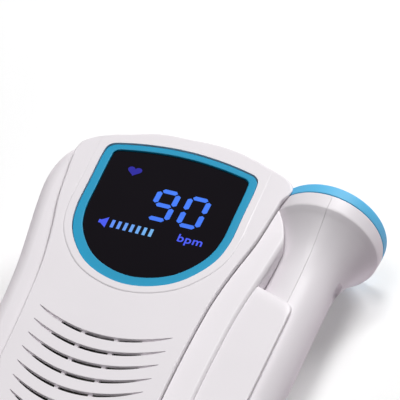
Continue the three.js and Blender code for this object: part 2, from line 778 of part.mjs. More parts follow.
const buttonCap = (button) => {
  const top = faceHeight + buttonProud;
  const flangeHigh = coverUnderside - buttonFlangeGap;
  const flangeLow = flangeHigh - buttonFlangeThickness;
  const stemLow = boardHigh + switchHeight + switchPlungerRise + switchPlungerGap + buttonTravel;
  const cap = loft(buttonOutline(button, 0), [[flangeLow, 0], ...roundedLevels(top, buttonEdge, buttonEdge)]);
  const flange = prism(buttonOutline(button, buttonFlange), flangeLow, flangeHigh);
  const stem = post(buttonStemRadius, stemLow, flangeHigh, button.x, buttonY);
  return joinAll([cap, flange, stem]);
};

// Loudspeaker parts, turned about the grille's centre
const speakerTop = coverUnderside - gasketThickness;
const speakerBack = speakerTop - speakerFlange - speakerBasketDepth;

const speakerGasket = () => turnedUpright([
  [speakerMouthRadius, speakerTop], [speakerRadius, speakerTop],
  [speakerRadius, coverUnderside], [speakerMouthRadius, coverUnderside], [speakerMouthRadius, speakerTop],
], 0, speakerCentreY);

const speakerFrame = () => turnedUpright([
  [speakerNeckRadius, speakerBack], [speakerBackRadius, speakerBack],
  [speakerMouthRadius + basketWall, speakerTop - speakerFlange],
  [speakerRadius, speakerTop - speakerFlange], [speakerRadius, speakerTop],
  [speakerMouthRadius, speakerTop], [speakerMouthRadius, speakerTop - speakerFlange],
  [speakerBackRadius, speakerBack + basketWall], [speakerNeckRadius, speakerBack + basketWall],
  [speakerNeckRadius, speakerBack],
], 0, speakerCentreY);

const speakerCone = () => {
  const edge = speakerMouthRadius - coneGap;
  const low = speakerBack + basketWall + coneGap;
  return turnedUpright([
    [0, low + dustCapRise - coneThickness], [coneNeckRadius, low],
    [edge, speakerTop - speakerFlange], [edge, speakerTop - speakerFlange + coneThickness],
    [coneNeckRadius, low + coneThickness], [0, low + dustCapRise],
  ], 0, speakerCentreY);
};

const speakerMagnet = () =>
  post(magnetRadius, boardHigh + magnetGap, speakerBack, 0, speakerCentreY, roundSegments);

// Earphone jack and cable gland
const earphoneJack = () => {
  const noseEnd = -halfLength - jackNoseProud + housingWall / 2;
  const bodyEnd = endWallInside + housingWall * 2;
  const bodyFront = buttonY - switchSide / 2 - jackSwitchGap;
  const body = block(
    [jackX, (bodyEnd + bodyFront) / 2, jackHeight],
    [jackWidth, bodyFront - bodyEnd, jackBodyHeight],
  );
  const nose = rod(jackNoseRadius, jackNoseRadius, noseEnd, bodyEnd + socketGap, jackX, jackHeight);
  const boreEnd = noseEnd + jackBoreDepth;
  const bore = rod(jackBoreRadius, jackBoreRadius, noseEnd - overrun, boreEnd, jackX, jackHeight);
  return body.add(nose).subtract(bore);
};

const unitCableGland = () => {
  const outside = -halfLength - glandProud;
  const inside = endWallInside + housingWall;
  const sleeve = rod(glandTipRadius, glandRadius, outside, -halfLength, glandX, splitHeight);
  const neck = rod(glandRadius, glandRadius, -halfLength, inside, glandX, splitHeight);
  const flange = rod(glandFlangeRadius, glandFlangeRadius, inside + socketGap,
    inside + socketGap + glandFlangeThickness, glandX, splitHeight);
  const joint = rod(glandRadius, glandRadius, inside, inside + glandFlangeThickness, glandX, splitHeight);
  const boreEnd = outside + glandBoreDepth;
  const bore = rod(glandBoreRadius, glandBoreRadius, outside - overrun, boreEnd, glandX, splitHeight);
  return joinAll([sleeve, neck, joint, flange]).subtract(bore);
};

// Fasteners
const shellScrew = ([x, y], bossEnd) => {
  const headLow = screwHeadDepth;
  const head = post(screwHeadRadius, headLow, headLow + screwHeadThickness - screwGap, x, y);
  const shank = post(screwRadius, headLow + screwHeadThickness / 2, screwTip(bossEnd), x, y);
  return head.add(shank);
};

const boardScrew = ([x, y]) => {
  const head = post(boardScrewHeadRadius, boardHigh + screwGap, boardHigh + screwGap + boardScrewHead, x, y);
  const tip = boardLow - boardScrewLength + screwTipGap;
  const shank = post(boardScrewRadius, tip, boardHigh + boardScrewHead, x, y);
  return head.add(shank);
};

// Probe pieces, in the probe's own frame: front at y = 0, handle towards -Y
const probeSolid = (profile) => toSolid(turned(profile, probeSegments));

const probeShells = () => {
  const outer = probeSolid([
    [0, -probeLength], ...tailProfile(0).reverse(), ...flareProfile(0).reverse(),
    [headRadius, -ringLength - headGap], [0, -ringLength - headGap],
  ]);
  const inner = probeSolid([
    [0, -probeLength + probeGlandFlange], [probeGlandFlangeRadius, -probeLength + probeGlandFlange],
    [probeGlandFlangeRadius, -probeLength + tailLength],
    [handleRadius - probeWall, -probeLength + tailLength + probeWall],
    ...flareProfile(-probeWall).reverse(), [headRadius - probeWall, -ringLength + overrun],
    [0, -ringLength + overrun],
  ]);
  const glandExit = rod(probeGlandRadius + socketGap, probeGlandRadius + socketGap,
    -probeLength - overrun, -probeLength + tailLength, 0, 0);
  const tube = outer.subtract(inner).subtract(glandExit);
  const grip = (side) => {
    const geometry = new THREE.SphereGeometry(1, smallSegments, smallSegments / 2);
    geometry.scale(gripDepth, gripLength / 2, gripHalfWidth);
    geometry.translate(side * handleRadius, -gripBehind - gripLength / 2, 0);
    return toSolid(geometry);
  };
  const width = headRadius * 2;
  const half = (side) => {
    const keep = block(
      [side * (seamGap / 2 + width / 2), -probeLength / 2, 0],
      [width, probeLength + overrun * 2, width + overrun],
    );
    return tube.intersect(keep).subtract(grip(side));
  };
  return { left: half(-1), right: half(1) };
};

// Blue ring: a turned band with a rounded front edge and a step that seats the acoustic face
const probeRing = () => {
  const seat = -faceRecess - faceThickness;
  const mouth = headRadius - ringLip;
  const front = Array.from({ length: roundSteps + 1 }, (unused, step) => {
    const turn = (step / roundSteps) * (Math.PI / 2);
    return [headRadius - headEdge * (1 - Math.cos(turn)), -headEdge * (1 - Math.sin(turn))];
  });
  return probeSolid([
    [mouth - ringSeat, -ringLength], [headRadius, -ringLength], ...front,
    [mouth, 0], [mouth, seat], [mouth - ringSeat, seat], [mouth - ringSeat, -ringLength],
  ]);
};

const faceLow = -faceRecess - faceThickness + headGap / 2;

const probeFace = () => {
  const radius = headRadius - ringLip - headGap;
  return rod(radius, radius, faceLow, -faceRecess, 0, 0, probeSegments);
};

const crystal = (side) => {
  const disc = rod(crystalRadius, crystalRadius, faceLow - headGap / 2 - crystalThickness,
    faceLow - headGap / 2, 0, 0, roundSegments);
  const reach = crystalRadius * 2;
  const keep = block([side * (crystalSplit / 2 + reach / 2), faceLow, 0], [reach, reach, reach + overrun]);
  return disc.intersect(keep);
};

const backing = () => {
  const front = faceLow - headGap - crystalThickness;
  return rod(backingRadius, backingRadius, front - backingLength, front, 0, 0, roundSegments);
};

const probeBoard = () => {
  const halfWidth = Math.sqrt((handleRadius - probeWall - headGap) ** 2 - (probeBoardThickness / 2) ** 2);
  return block(
    [0, -probeBoardStart - probeBoardLength / 2, 0],
    [halfWidth * 2, probeBoardLength, probeBoardThickness],
  );
};

const probeCableGland = () => {
  const outside = -probeLength - probeGlandLength;
  const inside = -probeLength + probeGlandFlange + socketGap;
  const sleeve = rod(probeGlandTipRadius, probeGlandRadius, outside, inside, 0, 0);
  const flangeRadius = probeGlandFlangeRadius - socketGap;
  const flange = rod(flangeRadius, flangeRadius, inside, inside + probeGlandFlange, 0, 0);
  const bore = rod(glandBoreRadius, glandBoreRadius, outside - overrun, outside + glandBoreDepth, 0, 0);
  return sleeve.add(flange).subtract(bore);
};

// Assembly
const unit = new THREE.Group();
unit.add(
  node('front_cover', frontCover(), whitePlastic),
  node('display_bezel', displayBezel(), bluePlastic),
  node('display_window', displayWindow(), blackGlass),
  node('led_display_module', displayModule(), darkPlastic),
  node('upper_housing', upperHousing(), whitePlastic),
  node('rear_housing', rearHousing(), whitePlastic),
  node('battery_door', batteryDoor(), whitePlastic),
  node('battery_cell_left', cell(-cellPitch / 2, false), cellJacket),
  node('battery_cell_right', cell(cellPitch / 2, true), cellJacket),
  node('battery_contact_plate', contactPlate(), steel),
  node('battery_spring_left', contactSpring(-cellPitch / 2), steel),
  node('battery_spring_right', contactSpring(cellPitch / 2), steel),
  node('main_board', mainBoard(), boardGreen),
  node('processor_chip', block(
    [0, processorY, boardHigh + processorThickness / 2],
    [processorSide, processorSide, processorThickness],
  ), chipBlack),
  node('audio_amplifier_chip', block(
    [amplifierX, processorY, boardHigh + amplifierThickness / 2],
    [amplifierWidth, amplifierLength, amplifierThickness],
  ), chipBlack),
  node('speaker_gasket', speakerGasket(), foamGrey),
  node('speaker_frame', speakerFrame(), steel),
  node('speaker_cone', speakerCone(), paperCone),
  node('speaker_magnet', speakerMagnet(), steel),
  node('earphone_jack', earphoneJack(), darkPlastic),
  node('unit_cable_gland', unitCableGland(), whitePlastic),
);
buttons.forEach((button) => {
  unit.add(node(button.name, buttonCap(button), greyButton));
  unit.add(node(button.name.replace('button', 'switch'), tactSwitch(button.x), chipBlack));
});
upperScrews.forEach((place, index) => {
  unit.add(node(`upper_screw_${index + 1}`, shellScrew(place, upperBossSplit), steel));
});
lowerScrews.forEach((place, index) => {
  unit.add(node(`lower_screw_${index + 1}`, shellScrew(place, splitHeight), steel));
});
boardScrews.forEach((place, index) => {
  unit.add(node(`board_screw_${index + 1}`, boardScrew(place), steel));
});

const shells = probeShells();
const probe = new THREE.Group();
probe.add(
  node('probe_left_shell', shells.left, whitePlastic),
  node('probe_right_shell', shells.right, whitePlastic),
  node('probe_ring', probeRing(), bluePlastic),
  node('probe_face', probeFace(), acousticGrey),
  node('transmit_crystal', crystal(-1), ceramic),
  node('receive_crystal', crystal(1), ceramic),
  node('crystal_backing', backing(), epoxy),
  node('probe_board', probeBoard(), boardGreen),
  node('probe_cable_gland', probeCableGland(), whitePlastic),
);
probe.rotation.set(0, probeSeamTurn, -probeYaw, 'ZYX');
probe.position.set(probeFrontX, probeFrontY, probeHeight);

const doppler = new THREE.Group();
doppler.add(unit, probe);

export default doppler;
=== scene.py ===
"""Pocket fetal doppler: the main unit with its display and loudspeaker, and the hand probe in its cradle."""

import math

import bmesh
import bpy
from mathutils import Matrix, Vector


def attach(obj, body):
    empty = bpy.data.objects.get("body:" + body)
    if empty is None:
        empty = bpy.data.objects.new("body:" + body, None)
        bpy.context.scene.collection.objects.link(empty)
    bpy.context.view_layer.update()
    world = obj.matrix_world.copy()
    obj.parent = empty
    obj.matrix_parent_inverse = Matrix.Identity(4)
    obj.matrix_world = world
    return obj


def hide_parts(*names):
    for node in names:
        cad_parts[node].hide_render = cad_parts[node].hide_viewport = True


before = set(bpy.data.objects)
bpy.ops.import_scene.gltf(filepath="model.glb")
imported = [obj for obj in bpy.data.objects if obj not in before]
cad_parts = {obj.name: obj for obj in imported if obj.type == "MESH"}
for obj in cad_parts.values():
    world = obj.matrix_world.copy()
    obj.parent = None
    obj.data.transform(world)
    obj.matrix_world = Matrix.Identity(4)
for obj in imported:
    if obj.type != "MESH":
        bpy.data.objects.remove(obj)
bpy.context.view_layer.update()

bl_info = {
    "name": "Fetal doppler",
    "version": (1, 0, 0),
    "blender": (4, 5, 0),
    "location": "3D View > Sidebar > Doppler",
    "description": "Models and dresses a pocket fetal doppler and its probe",
    "category": "Object",
}

MM = 0.001

# Plan outlines, top centre to bottom centre: (share of the half length, share of the half width)
BODY_SHARES = [
    (0.992, 0), (0.976, 0.322), (0.938, 0.6), (0.88, 0.83), (0.815, 0.939), (0.727, 0.989),
    (0.634, 1), (0.507, 0.976), (0.338, 0.93), (0.169, 0.885), (-0.042, 0.855), (-0.282, 0.836),
    (-0.535, 0.831), (-0.704, 0.804), (-0.852, 0.71), (-0.948, 0.509), (-0.99, 0.255), (-1, 0),
]
COVER_SHARES = [
    (1, 0), (0.993, 0.252), (0.963, 0.535), (0.93, 0.755), (0.897, 0.887), (0.859, 0.965),
    (0.803, 1), (0.746, 0.994), (0.656, 0.972), (0.514, 0.931), (0.352, 0.855), (0.176, 0.789),
    (-0.028, 0.752), (-0.254, 0.73), (-0.479, 0.72), (-0.648, 0.704), (-0.789, 0.642),
    (-0.88, 0.487), (-0.927, 0.252), (-0.938, 0),
]
# Display ring and pane: (share of the height down from the top, share of the half width)
SHIELD_SHARES = [
    (0, 0), (0.002, 0.19), (0.022, 0.558), (0.049, 0.83), (0.064, 0.925), (0.092, 0.982),
    (0.138, 1), (0.364, 0.996), (0.578, 0.983), (0.712, 0.91), (0.837, 0.738), (0.922, 0.541),
    (0.98, 0.27), (1, 0),
]
PANE_SHARES = [(0, 0), (0.002, 0.19), (0.02, 0.558), (0.045, 0.85), (0.056, 0.94), (0.08, 0.99),
               (0.125, 1)] + SHIELD_SHARES[7:]
SPAN_STEPS = 6      # points that a curve gets for each of these

# All sizes are in millimetres, and heights are measured from the flat back that the unit rests on.
# Plan of the unit, the display ring and the pane
HALF_LENGTH, BODY_HALF_WIDTH, COVER_HALF_WIDTH = 71, 37.26, 31.8
SHIELD_TOP, SHIELD_BOTTOM, SHIELD_HALF_WIDTH = 65.2, 10, 23.3
PANE_TOP, PANE_BOTTOM, PANE_HALF_WIDTH = 62.9, 13.7, 20.8
# Heights of the cover's face, the wing beside it and the split between the housings, with its small edge
FACE, WING_TOP, SPLIT, SPLIT_EDGE = 32, 30.6, 16, 0.18
# The cover's seat and underside, and the ledge that carries it
COVER_SEAT, COVER_UNDER, COVER_LEDGE = 28.6, 29.8, 2.6
WINDOW_TOP, WINDOW_LOW, BEZEL_TOP = 31.1, 29.7, 31.7
WALL, FLOOR, ROOM_TOP = 2.2, 2.4, 26.6
# Heights that cutting solids reach
CLEAR_OF_FACE, CLEAR_OF_ALL = 33, 34

# The probe lies along its own Y axis, its face at 0 and its tail at minus its length
PROBE_FRONT = Vector((45.1, 62.1, 18.4))
PROBE_YAW, SEAM_TURN = math.radians(2.6), math.radians(4)
HEAD_RADIUS, HANDLE_RADIUS, PROBE_LENGTH, PROBE_STEPS = 17.25, 9.4, 115, 112
RING_LENGTH, CREASE_RADIUS, CREASE_DEPTH, FLARE_LENGTH = 4.2, 17, 9.1, 24

# Grille slots from the top: half lengths at the face, and half lengths that are open to the loudspeaker
SLOT_HALF_LENGTHS = [19.3, 19.05, 18.8, 18.6, 18, 17.2, 16]
SLOT_OPEN_LENGTHS = [11.3, 12.9, 14, 15, 15.4, 15, 13.6]
SLOT_PITCH, SLOT_SAG = 5.15, 5.8
BUTTON_Y, BUTTON_PITCH = -52, 12.4
# Name, half sizes and place across the cover of each button
BUTTONS = [("volume_down", 4.6, 3.3, -BUTTON_PITCH), ("power", 4.4, 4.4, 0),
           ("volume_up", 4.6, 3.3, BUTTON_PITCH)]
# The printed marks lie in the keys' dished tops
PRINT_LOW, PRINT_HIGH = 32.515, 32.56

UPPER_SCREWS = [(-21.8, 60.5), (21.8, 60.5)]
LOWER_SCREWS = [(-24, -50), (24, -50)]
BOSS_RADIUS, PILOT_RADIUS, SINK_RADIUS = 2.8, 1.35, 2.6
JACK_X, JACK_Z, GLAND_X = -14, 22.7, 8
CELL_X, CELL_Z, CELL_LOW, CELL_HIGH = 7.55, 10, -59.2, -8.7


def linear(hex_colour):
    """An sRGB hex colour as linear red, green and blue."""
    values = [int(hex_colour[i:i + 2], 16) / 255 for i in (1, 3, 5)]
    return tuple(v / 12.92 if v <= 0.04045 else ((v + 0.055) / 1.055) ** 2.4 for v in values)


# ---------------------------------------------------------------- properties

class DopplerSizes(bpy.types.PropertyGroup):
    """Sizes of the visible detail"""
    shoulder_drop: bpy.props.FloatProperty(
        name="Shoulder drop", description="Height of the housing's rounded shoulder",
        default=5 * MM, unit="LENGTH")
    shoulder_inset: bpy.props.FloatProperty(
        name="Shoulder width", description="Width of the housing's rounded shoulder",
        default=4.6 * MM, unit="LENGTH")
    cover_round: bpy.props.FloatProperty(
        name="Cover edge", description="Radius of the front cover's edge",
        default=0.8 * MM, unit="LENGTH")
    cover_gap: bpy.props.FloatProperty(
        name="Cover gap", description="Gap between the front cover and the housing",
        default=0.22 * MM, unit="LENGTH")
    seam_gap: bpy.props.FloatProperty(
        name="Probe seam", description="Gap between the two halves of the probe",
        default=0.08 * MM, unit="LENGTH")
    slot_width: bpy.props.FloatProperty(
        name="Grille slot", description="Width of a loudspeaker slot at its middle",
        default=1.28 * MM, unit="LENGTH")
    pad_rise: bpy.props.FloatProperty(
        name="Display pad", description="Rise of the pad round the display",
        default=0.25 * MM, unit="LENGTH")
    probe_clearance: bpy.props.FloatProperty(
        name="Probe clearance", description="Room between the probe and its cradle",
        default=0.2 * MM, unit="LENGTH")


class DopplerColours(bpy.types.PropertyGroup):
    """Colours of the finishes"""
    shell: bpy.props.FloatVectorProperty(
        name="Shell", description="White plastic of the shells",
        default=linear("#EAE5E9"), min=0, max=1, subtype="COLOR")
    ring: bpy.props.FloatVectorProperty(
        name="Display ring", description="Blue plastic round the display",
        default=linear("#1396C0"), min=0, max=1, subtype="COLOR")
    probe_ring: bpy.props.FloatVectorProperty(
        name="Probe ring", description="Blue plastic of the probe's rim",
        default=linear("#56BAE9"), min=0, max=1, subtype="COLOR")
    window: bpy.props.FloatVectorProperty(
        name="Window", description="Tinted acrylic over the display",
        default=linear("#0C070F"), min=0, max=1, subtype="COLOR")
    digits: bpy.props.FloatVectorProperty(
        name="Digits", description="Light of the digits",
        default=linear("#447CFB"), min=0, max=1, subtype="COLOR")
    symbols: bpy.props.FloatVectorProperty(
        name="Symbols", description="Light of the speaker mark and the unit",
        default=linear("#4A5CF2"), min=0, max=1, subtype="COLOR")
    heart: bpy.props.FloatVectorProperty(
        name="Heart", description="Light of the heart",
        default=linear("#2B289E"), min=0, max=1, subtype="COLOR")
    button: bpy.props.FloatVectorProperty(
        name="Buttons", description="Silicone of the button caps",
        default=linear("#C9CED6"), min=0, max=1, subtype="COLOR")


class DopplerStage(bpy.types.PropertyGroup):
    """Light and camera"""
    key_power: bpy.props.FloatProperty(
        name="Key light", description="Power of the soft light behind the doppler",
        default=7.43, min=0, subtype="POWER")
    top_power: bpy.props.FloatProperty(
        name="Top light", description="Power of the soft light overhead",
        default=4.23, min=0, subtype="POWER")
    fill_power: bpy.props.FloatProperty(
        name="Fill light", description="Power of the soft light above the camera",
        default=2.54, min=0, subtype="POWER")
    world_strength: bpy.props.FloatProperty(
        name="Surround", description="Strength of the even light from all round", default=0.02, min=0)
    lens: bpy.props.FloatProperty(
        name="Lens", description="Focal length in millimetres on a 36 mm sensor", default=225, min=1)
    camera_place: bpy.props.FloatVectorProperty(
        name="Camera", description="Place of the camera",
        default=(0.16902, -0.42887, 0.54150), unit="LENGTH", subtype="XYZ")
    camera_target: bpy.props.FloatVectorProperty(
        name="Target", description="Point that the camera looks at",
        default=(0.0096, 0.0476, 0.032), unit="LENGTH", subtype="XYZ")


def sizes():
    """The sizes that the panel shows."""
    return bpy.context.scene.doppler_sizes


def colours():
    """The colours that the panel shows."""
    return bpy.context.scene.doppler_colours


# ---------------------------------------------------------------- outlines

def smooth(value, low, high):
    """Eases from 0 at low to 1 at high."""
    share = min(1, max(0, (value - low) / (high - low)))
    return share * share * (3 - 2 * share)


def closed_curve(points):
    """Closed centripetal Catmull-Rom curve through the points."""
    count, curve = len(points), []
    for i in range(count):
        p = [Vector(points[(i + k) % count]) for k in (-1, 0, 1, 2)]
        d = [math.sqrt((p[k + 1] - p[k]).length) for k in range(3)]
        first = ((p[1] - p[0]) / d[0] - (p[2] - p[0]) / (d[0] + d[1]) + (p[2] - p[1]) / d[1]) * d[1]
        second = ((p[2] - p[1]) / d[1] - (p[3] - p[1]) / (d[1] + d[2]) + (p[3] - p[2]) / d[2]) * d[1]
        for step in range(SPAN_STEPS):
            t = step / SPAN_STEPS
            curve.append(p[1] + first * t + (-3 * p[1] + 3 * p[2] - 2 * first - second) * t ** 2
                         + (2 * p[1] - 2 * p[2] + first + second) * t ** 3)
    return curve


def mirrored(shares, half_width, y_of):
    """Outline whose left side is given by shares, mirrored to the right."""
    left = [(-across * half_width, y_of(along)) for along, across in shares]
    right = [(-x, y) for x, y in reversed(left[1:-1])]
    return closed_curve(left + right)


def inset(outline, amount):
    """Outline drawn in towards the middle of its box, by one amount or one for each point."""
    amounts = amount if isinstance(amount, list) else [amount] * len(outline)
    low = Vector([min(p[k] for p in outline) for k in (0, 1)])
    high = Vector([max(p[k] for p in outline) for k in (0, 1)])
    middle, size = (low + high) / 2, high - low
    return [Vector([middle[k] + (p[k] - middle[k]) * (1 - 2 * a / size[k]) for k in (0, 1)])
            for p, a in zip(outline, amounts)]


def cover_outline():
    """The cover's plan, fuller and crisper beside the probe, its top end drawn in a little."""
    plain = mirrored(COVER_SHARES, COVER_HALF_WIDTH, lambda share: share * HALF_LENGTH)
    full = [Vector((p.x + 2.5 * smooth(p.x, 23, 30.5) * smooth(p.y, 54, 60),
                    p.y + 0.95 * smooth(p.x, -4, 13) * smooth(p.y, 50, 60) * (1 - 0.3 * smooth(p.x, 20, 28))
                    - 0.8 * smooth(-p.x, 10, 20) * smooth(p.y, 58, 64))) for p in plain]
    end = 70
    return [Vector((p.x, p.y if p.y < end else end + 0.7 * (p.y - end))) for p in full]


BODY = mirrored(BODY_SHARES, BODY_HALF_WIDTH, lambda share: share * HALF_LENGTH)
COVER = cover_outline()
SHIELD = mirrored(SHIELD_SHARES, SHIELD_HALF_WIDTH,
                  lambda share: SHIELD_TOP - share * (SHIELD_TOP - SHIELD_BOTTOM))
PANE = mirrored(PANE_SHARES, PANE_HALF_WIDTH, lambda share: PANE_TOP - share * (PANE_TOP - PANE_BOTTOM))


def ellipse(half_x, half_y, x, y):
    """Outline of an ellipse about a point."""
    turns = [2 * math.pi * k / 48 for k in range(48)]
    return [Vector((x + half_x * math.cos(t), y + half_y * math.sin(t))) for t in turns]


def rectangle(half_x, half_y, x, y):
    """Outline of a rectangle about a point."""
    corners = [(-1, -1), (1, -1), (1, 1), (-1, 1)]
    return [Vector((x + half_x * a, y + half_y * b)) for a, b in corners]


def quarter(end, rise, amount, steps):
    """Heights and insets of a quarter-round edge that ends at a height."""
    turns = [math.pi / 2 * k / steps for k in range(steps + 1)]
    return [(end - rise * (1 - math.sin(t)), amount * (1 - math.cos(t))) for t in turns]


BACK_ROUND = quarter(0, -4, 3.2, 10)[::-1]


# ---------------------------------------------------------------- solids, in millimetres

def outward(bm):
    """Turns every face outwards."""
    bmesh.ops.recalc_face_normals(bm, faces=bm.faces)
    return bm


def shifted(bm, vec):
    """Moves a solid."""
    bmesh.ops.translate(bm, verts=bm.verts, vec=vec)
    return bm


def spun(bm, angle, axis):
    """Turns a solid about an axis through the origin."""
    bmesh.ops.rotate(bm, verts=bm.verts, cent=(0, 0, 0), matrix=Matrix.Rotation(angle, 3, axis))
    return bm


def ring_of(bm, outline, height):
    """A loop of edges along an outline, whose points may add to the height."""
    verts = bmesh.ops.create_circle(bm, segments=len(outline), radius=1)["verts"]
    for vert, point in zip(verts, outline):
        vert.co = (point[0], point[1], height + (point[2] if len(point) > 2 else 0))
    return list({edge for vert in verts for edge in vert.link_edges})


def loft(levels, closed=False):
    """A solid through (outline, height) levels, capped at both ends or closed on itself."""
    bm = bmesh.new()
    rings = [ring_of(bm, outline, height) for outline, height in levels]
    for lower, upper in zip(rings, rings[1:] + rings[:1] if closed else rings[1:]):
        bmesh.ops.bridge_loops(bm, edges=lower + upper)
    if not closed:
        bmesh.ops.holes_fill(bm, edges=rings[0] + rings[-1], sides=0)
    return outward(bm)


def levels_of(outline, pairs):
    """Loft levels from (height, inset) pairs of one outline."""
    return [(inset(outline, amount) if amount else outline, height) for height, amount in pairs]


def prism(outline, low, high):
    """A straight solid over an outline."""
    return loft([(outline, low), (outline, high)])


def block(centre, size, edge=0.0):
    """A box, its edges rounded if a radius is given."""
    bm = bmesh.new()
    bmesh.ops.create_cube(bm, size=1)
    bmesh.ops.scale(bm, verts=bm.verts, vec=size)
    shifted(bm, centre)
    if edge:
        bmesh.ops.bevel(bm, geom=bm.edges[:], offset=edge, offset_type="OFFSET", segments=2, profile=0.5,
                        affect="EDGES", clamp_overlap=True, material=-1)
    return bm


def post(radius, low, high, x, y, segments=24):
    """An upright round solid."""
    bm = bmesh.new()
    bmesh.ops.create_cone(bm, cap_ends=True, segments=segments, radius1=radius, radius2=radius,
                          depth=high - low)
    return shifted(bm, (x, y, (low + high) / 2))


def turned(profile, steps):
    """A solid of revolution about Y from (radius, y) points, closed at the axis or on itself."""
    bm = bmesh.new()
    verts = [bm.verts.new((radius, y, 0)) for radius, y in profile]
    edges = [bm.edges.new(pair) for pair in zip(verts, verts[1:])]
    if profile[0][0] > 1e-6:
        edges.append(bm.edges.new((verts[-1], verts[0])))
    bmesh.ops.spin(bm, geom=verts + edges, cent=(0, 0, 0), axis=(0, 1, 0), angle=2 * math.pi,
                   steps=steps, use_merge=True, use_duplicate=False)
    bmesh.ops.remove_doubles(bm, verts=bm.verts, dist=1e-4)
    return outward(bm)


def rod(profile, x, z, steps=32):
    """A solid turned about an axis along Y."""
    return shifted(turned(profile, steps), (x, 0, z))


def at_probe(bm, turn=0.0):
    """Takes a solid from the probe's own frame to its place in the cradle."""
    matrix = (Matrix.Translation(PROBE_FRONT) @ Matrix.Rotation(-PROBE_YAW, 4, "Z")
              @ Matrix.Rotation(turn, 4, "Y"))
    bmesh.ops.transform(bm, matrix=matrix, verts=bm.verts)
    return bm


def as_mesh(name, bm):
    """A mesh from a solid, which is freed."""
    mesh = bpy.data.meshes.new(name)
    bm.to_mesh(mesh)
    bm.free()
    return mesh


def as_object(name, data):
    """An object in the scene."""
    obj = bpy.data.objects.new(name, data)
    bpy.context.scene.collection.objects.link(obj)
    return obj


def taken(mesh, bm):
    """A solid with a mesh added to it; the mesh is removed."""
    bm.from_mesh(mesh)
    bpy.data.meshes.remove(mesh)
    return bm


def evaluated(obj):
    """A solid from an object as its modifiers or its curve make it."""
    graph = bpy.context.evaluated_depsgraph_get()
    return taken(bpy.data.meshes.new_from_object(obj.evaluated_get(graph), depsgraph=graph), bmesh.new())


def joined(parts):
    """Several solids in one mesh."""
    whole = bmesh.new()
    for part in parts:
        taken(as_mesh("part", part), whole)
    return whole


def add(*parts):
    """A step that joins on solids that don't overlap."""
    return "UNION", parts


def cut(*parts):
    """A step that cuts out solids that don't overlap."""
    return "DIFFERENCE", parts


def within(part):
    """A step that keeps what lies inside a solid."""
    return "INTERSECT", [part]


def combined(base, *steps):
    """A solid after some steps."""
    solids = [base, *[joined(parts) for _, parts in steps]]
    made = [as_object("solid", as_mesh("solid", solid)) for solid in solids]
    for (operation, _), tool in zip(steps, made[1:]):
        modifier = made[0].modifiers.new("step", "BOOLEAN")
        modifier.operation, modifier.solver, modifier.object = operation, "EXACT", tool
    result = evaluated(made[0])
    for obj in made:
        data = obj.data
        bpy.data.objects.remove(obj)
        bpy.data.meshes.remove(data)
    if not result.faces:
        raise RuntimeError("a cut left nothing of the solid")
    return result


def finish_piece(name, bm, material, body, nodes=()):
    """Makes a piece from a solid in millimetres: it rides on a body and stands for its nodes."""
    bmesh.ops.scale(bm, verts=bm.verts, vec=(MM, MM, MM))
    mesh = as_mesh(name, bm)
    mesh.shade_smooth()
    mesh.set_sharp_from_angle(angle=math.radians(32))
    mesh.materials.append(material)
    obj = as_object(name, mesh)
    flat = obj.modifiers.new("Flat faces stay flat", "WEIGHTED_NORMAL")
    flat.keep_sharp = True
    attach(obj, body)
    if nodes:
        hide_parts(*nodes)
    return obj


# ---------------------------------------------------------------- materials

def add_node(tree, kind, settings=None, links=None):
    """Adds a node; settings are its sockets or attributes, links are sockets fed by other nodes."""
    node = tree.nodes.new(kind)
    for key, value in (settings or {}).items():
        if isinstance(key, int) or key in node.inputs:
            node.inputs[key].default_value = value
        else:
            setattr(node, key, value)
    for key, source in (links or {}).items():
        tree.links.new(source, node.inputs[key])
    return node


def new_material(name):
    """An empty material and its tree."""
    material = bpy.data.materials.new(name)
    material.use_nodes = True
    material.node_tree.nodes.clear()
    return material, material.node_tree


def tinted(colour, share=0.0):
    """A colour made lighter or darker by a share, with the alpha that sockets want."""
    return tuple(min(1, c * (1 + share)) for c in colour[:3]) + (1,)


def grained(name, colour, roughness, grain, depth, tone=0.012, ior=1.5, metallic=0.0, spread=0.06,
            mirror=0.5):
    """A surface with a fine grain of a size and depth in millimetres and faint clouds of 22 mm."""
    material, tree = new_material(name)
    place = add_node(tree, "ShaderNodeTexCoord").outputs["Object"]
    fine = add_node(tree, "ShaderNodeTexNoise", {"Scale": 1 / (grain * MM), "Detail": 3.0}, {"Vector": place})
    cloud = add_node(tree, "ShaderNodeTexNoise", {"Scale": 1 / (22 * MM), "Detail": 2.0}, {"Vector": place})
    tones = add_node(tree, "ShaderNodeValToRGB", None, {"Fac": cloud.outputs["Fac"]})
    for element, position, share in zip(tones.color_ramp.elements, (0.3, 0.7), (-tone, tone)):
        element.position, element.color = position, tinted(colour, share)
    gloss = add_node(tree, "ShaderNodeMapRange", {
        "From Min": 0.3, "From Max": 0.7, "To Min": roughness - spread / 2, "To Max": roughness + spread / 2,
    }, {"Value": fine.outputs["Fac"]})
    bump = add_node(tree, "ShaderNodeBump", {"Strength": 0.35, "Distance": depth * MM},
                    {"Height": fine.outputs["Fac"]})
    shader = add_node(tree, "ShaderNodeBsdfPrincipled", {
        "IOR": ior, "Metallic": metallic, "Specular IOR Level": mirror,
    }, {"Base Color": tones.outputs["Color"], "Roughness": gloss.outputs["Result"],
        "Normal": bump.outputs["Normal"]})
    add_node(tree, "ShaderNodeOutputMaterial", None, {"Surface": shader.outputs["BSDF"]})
    return material


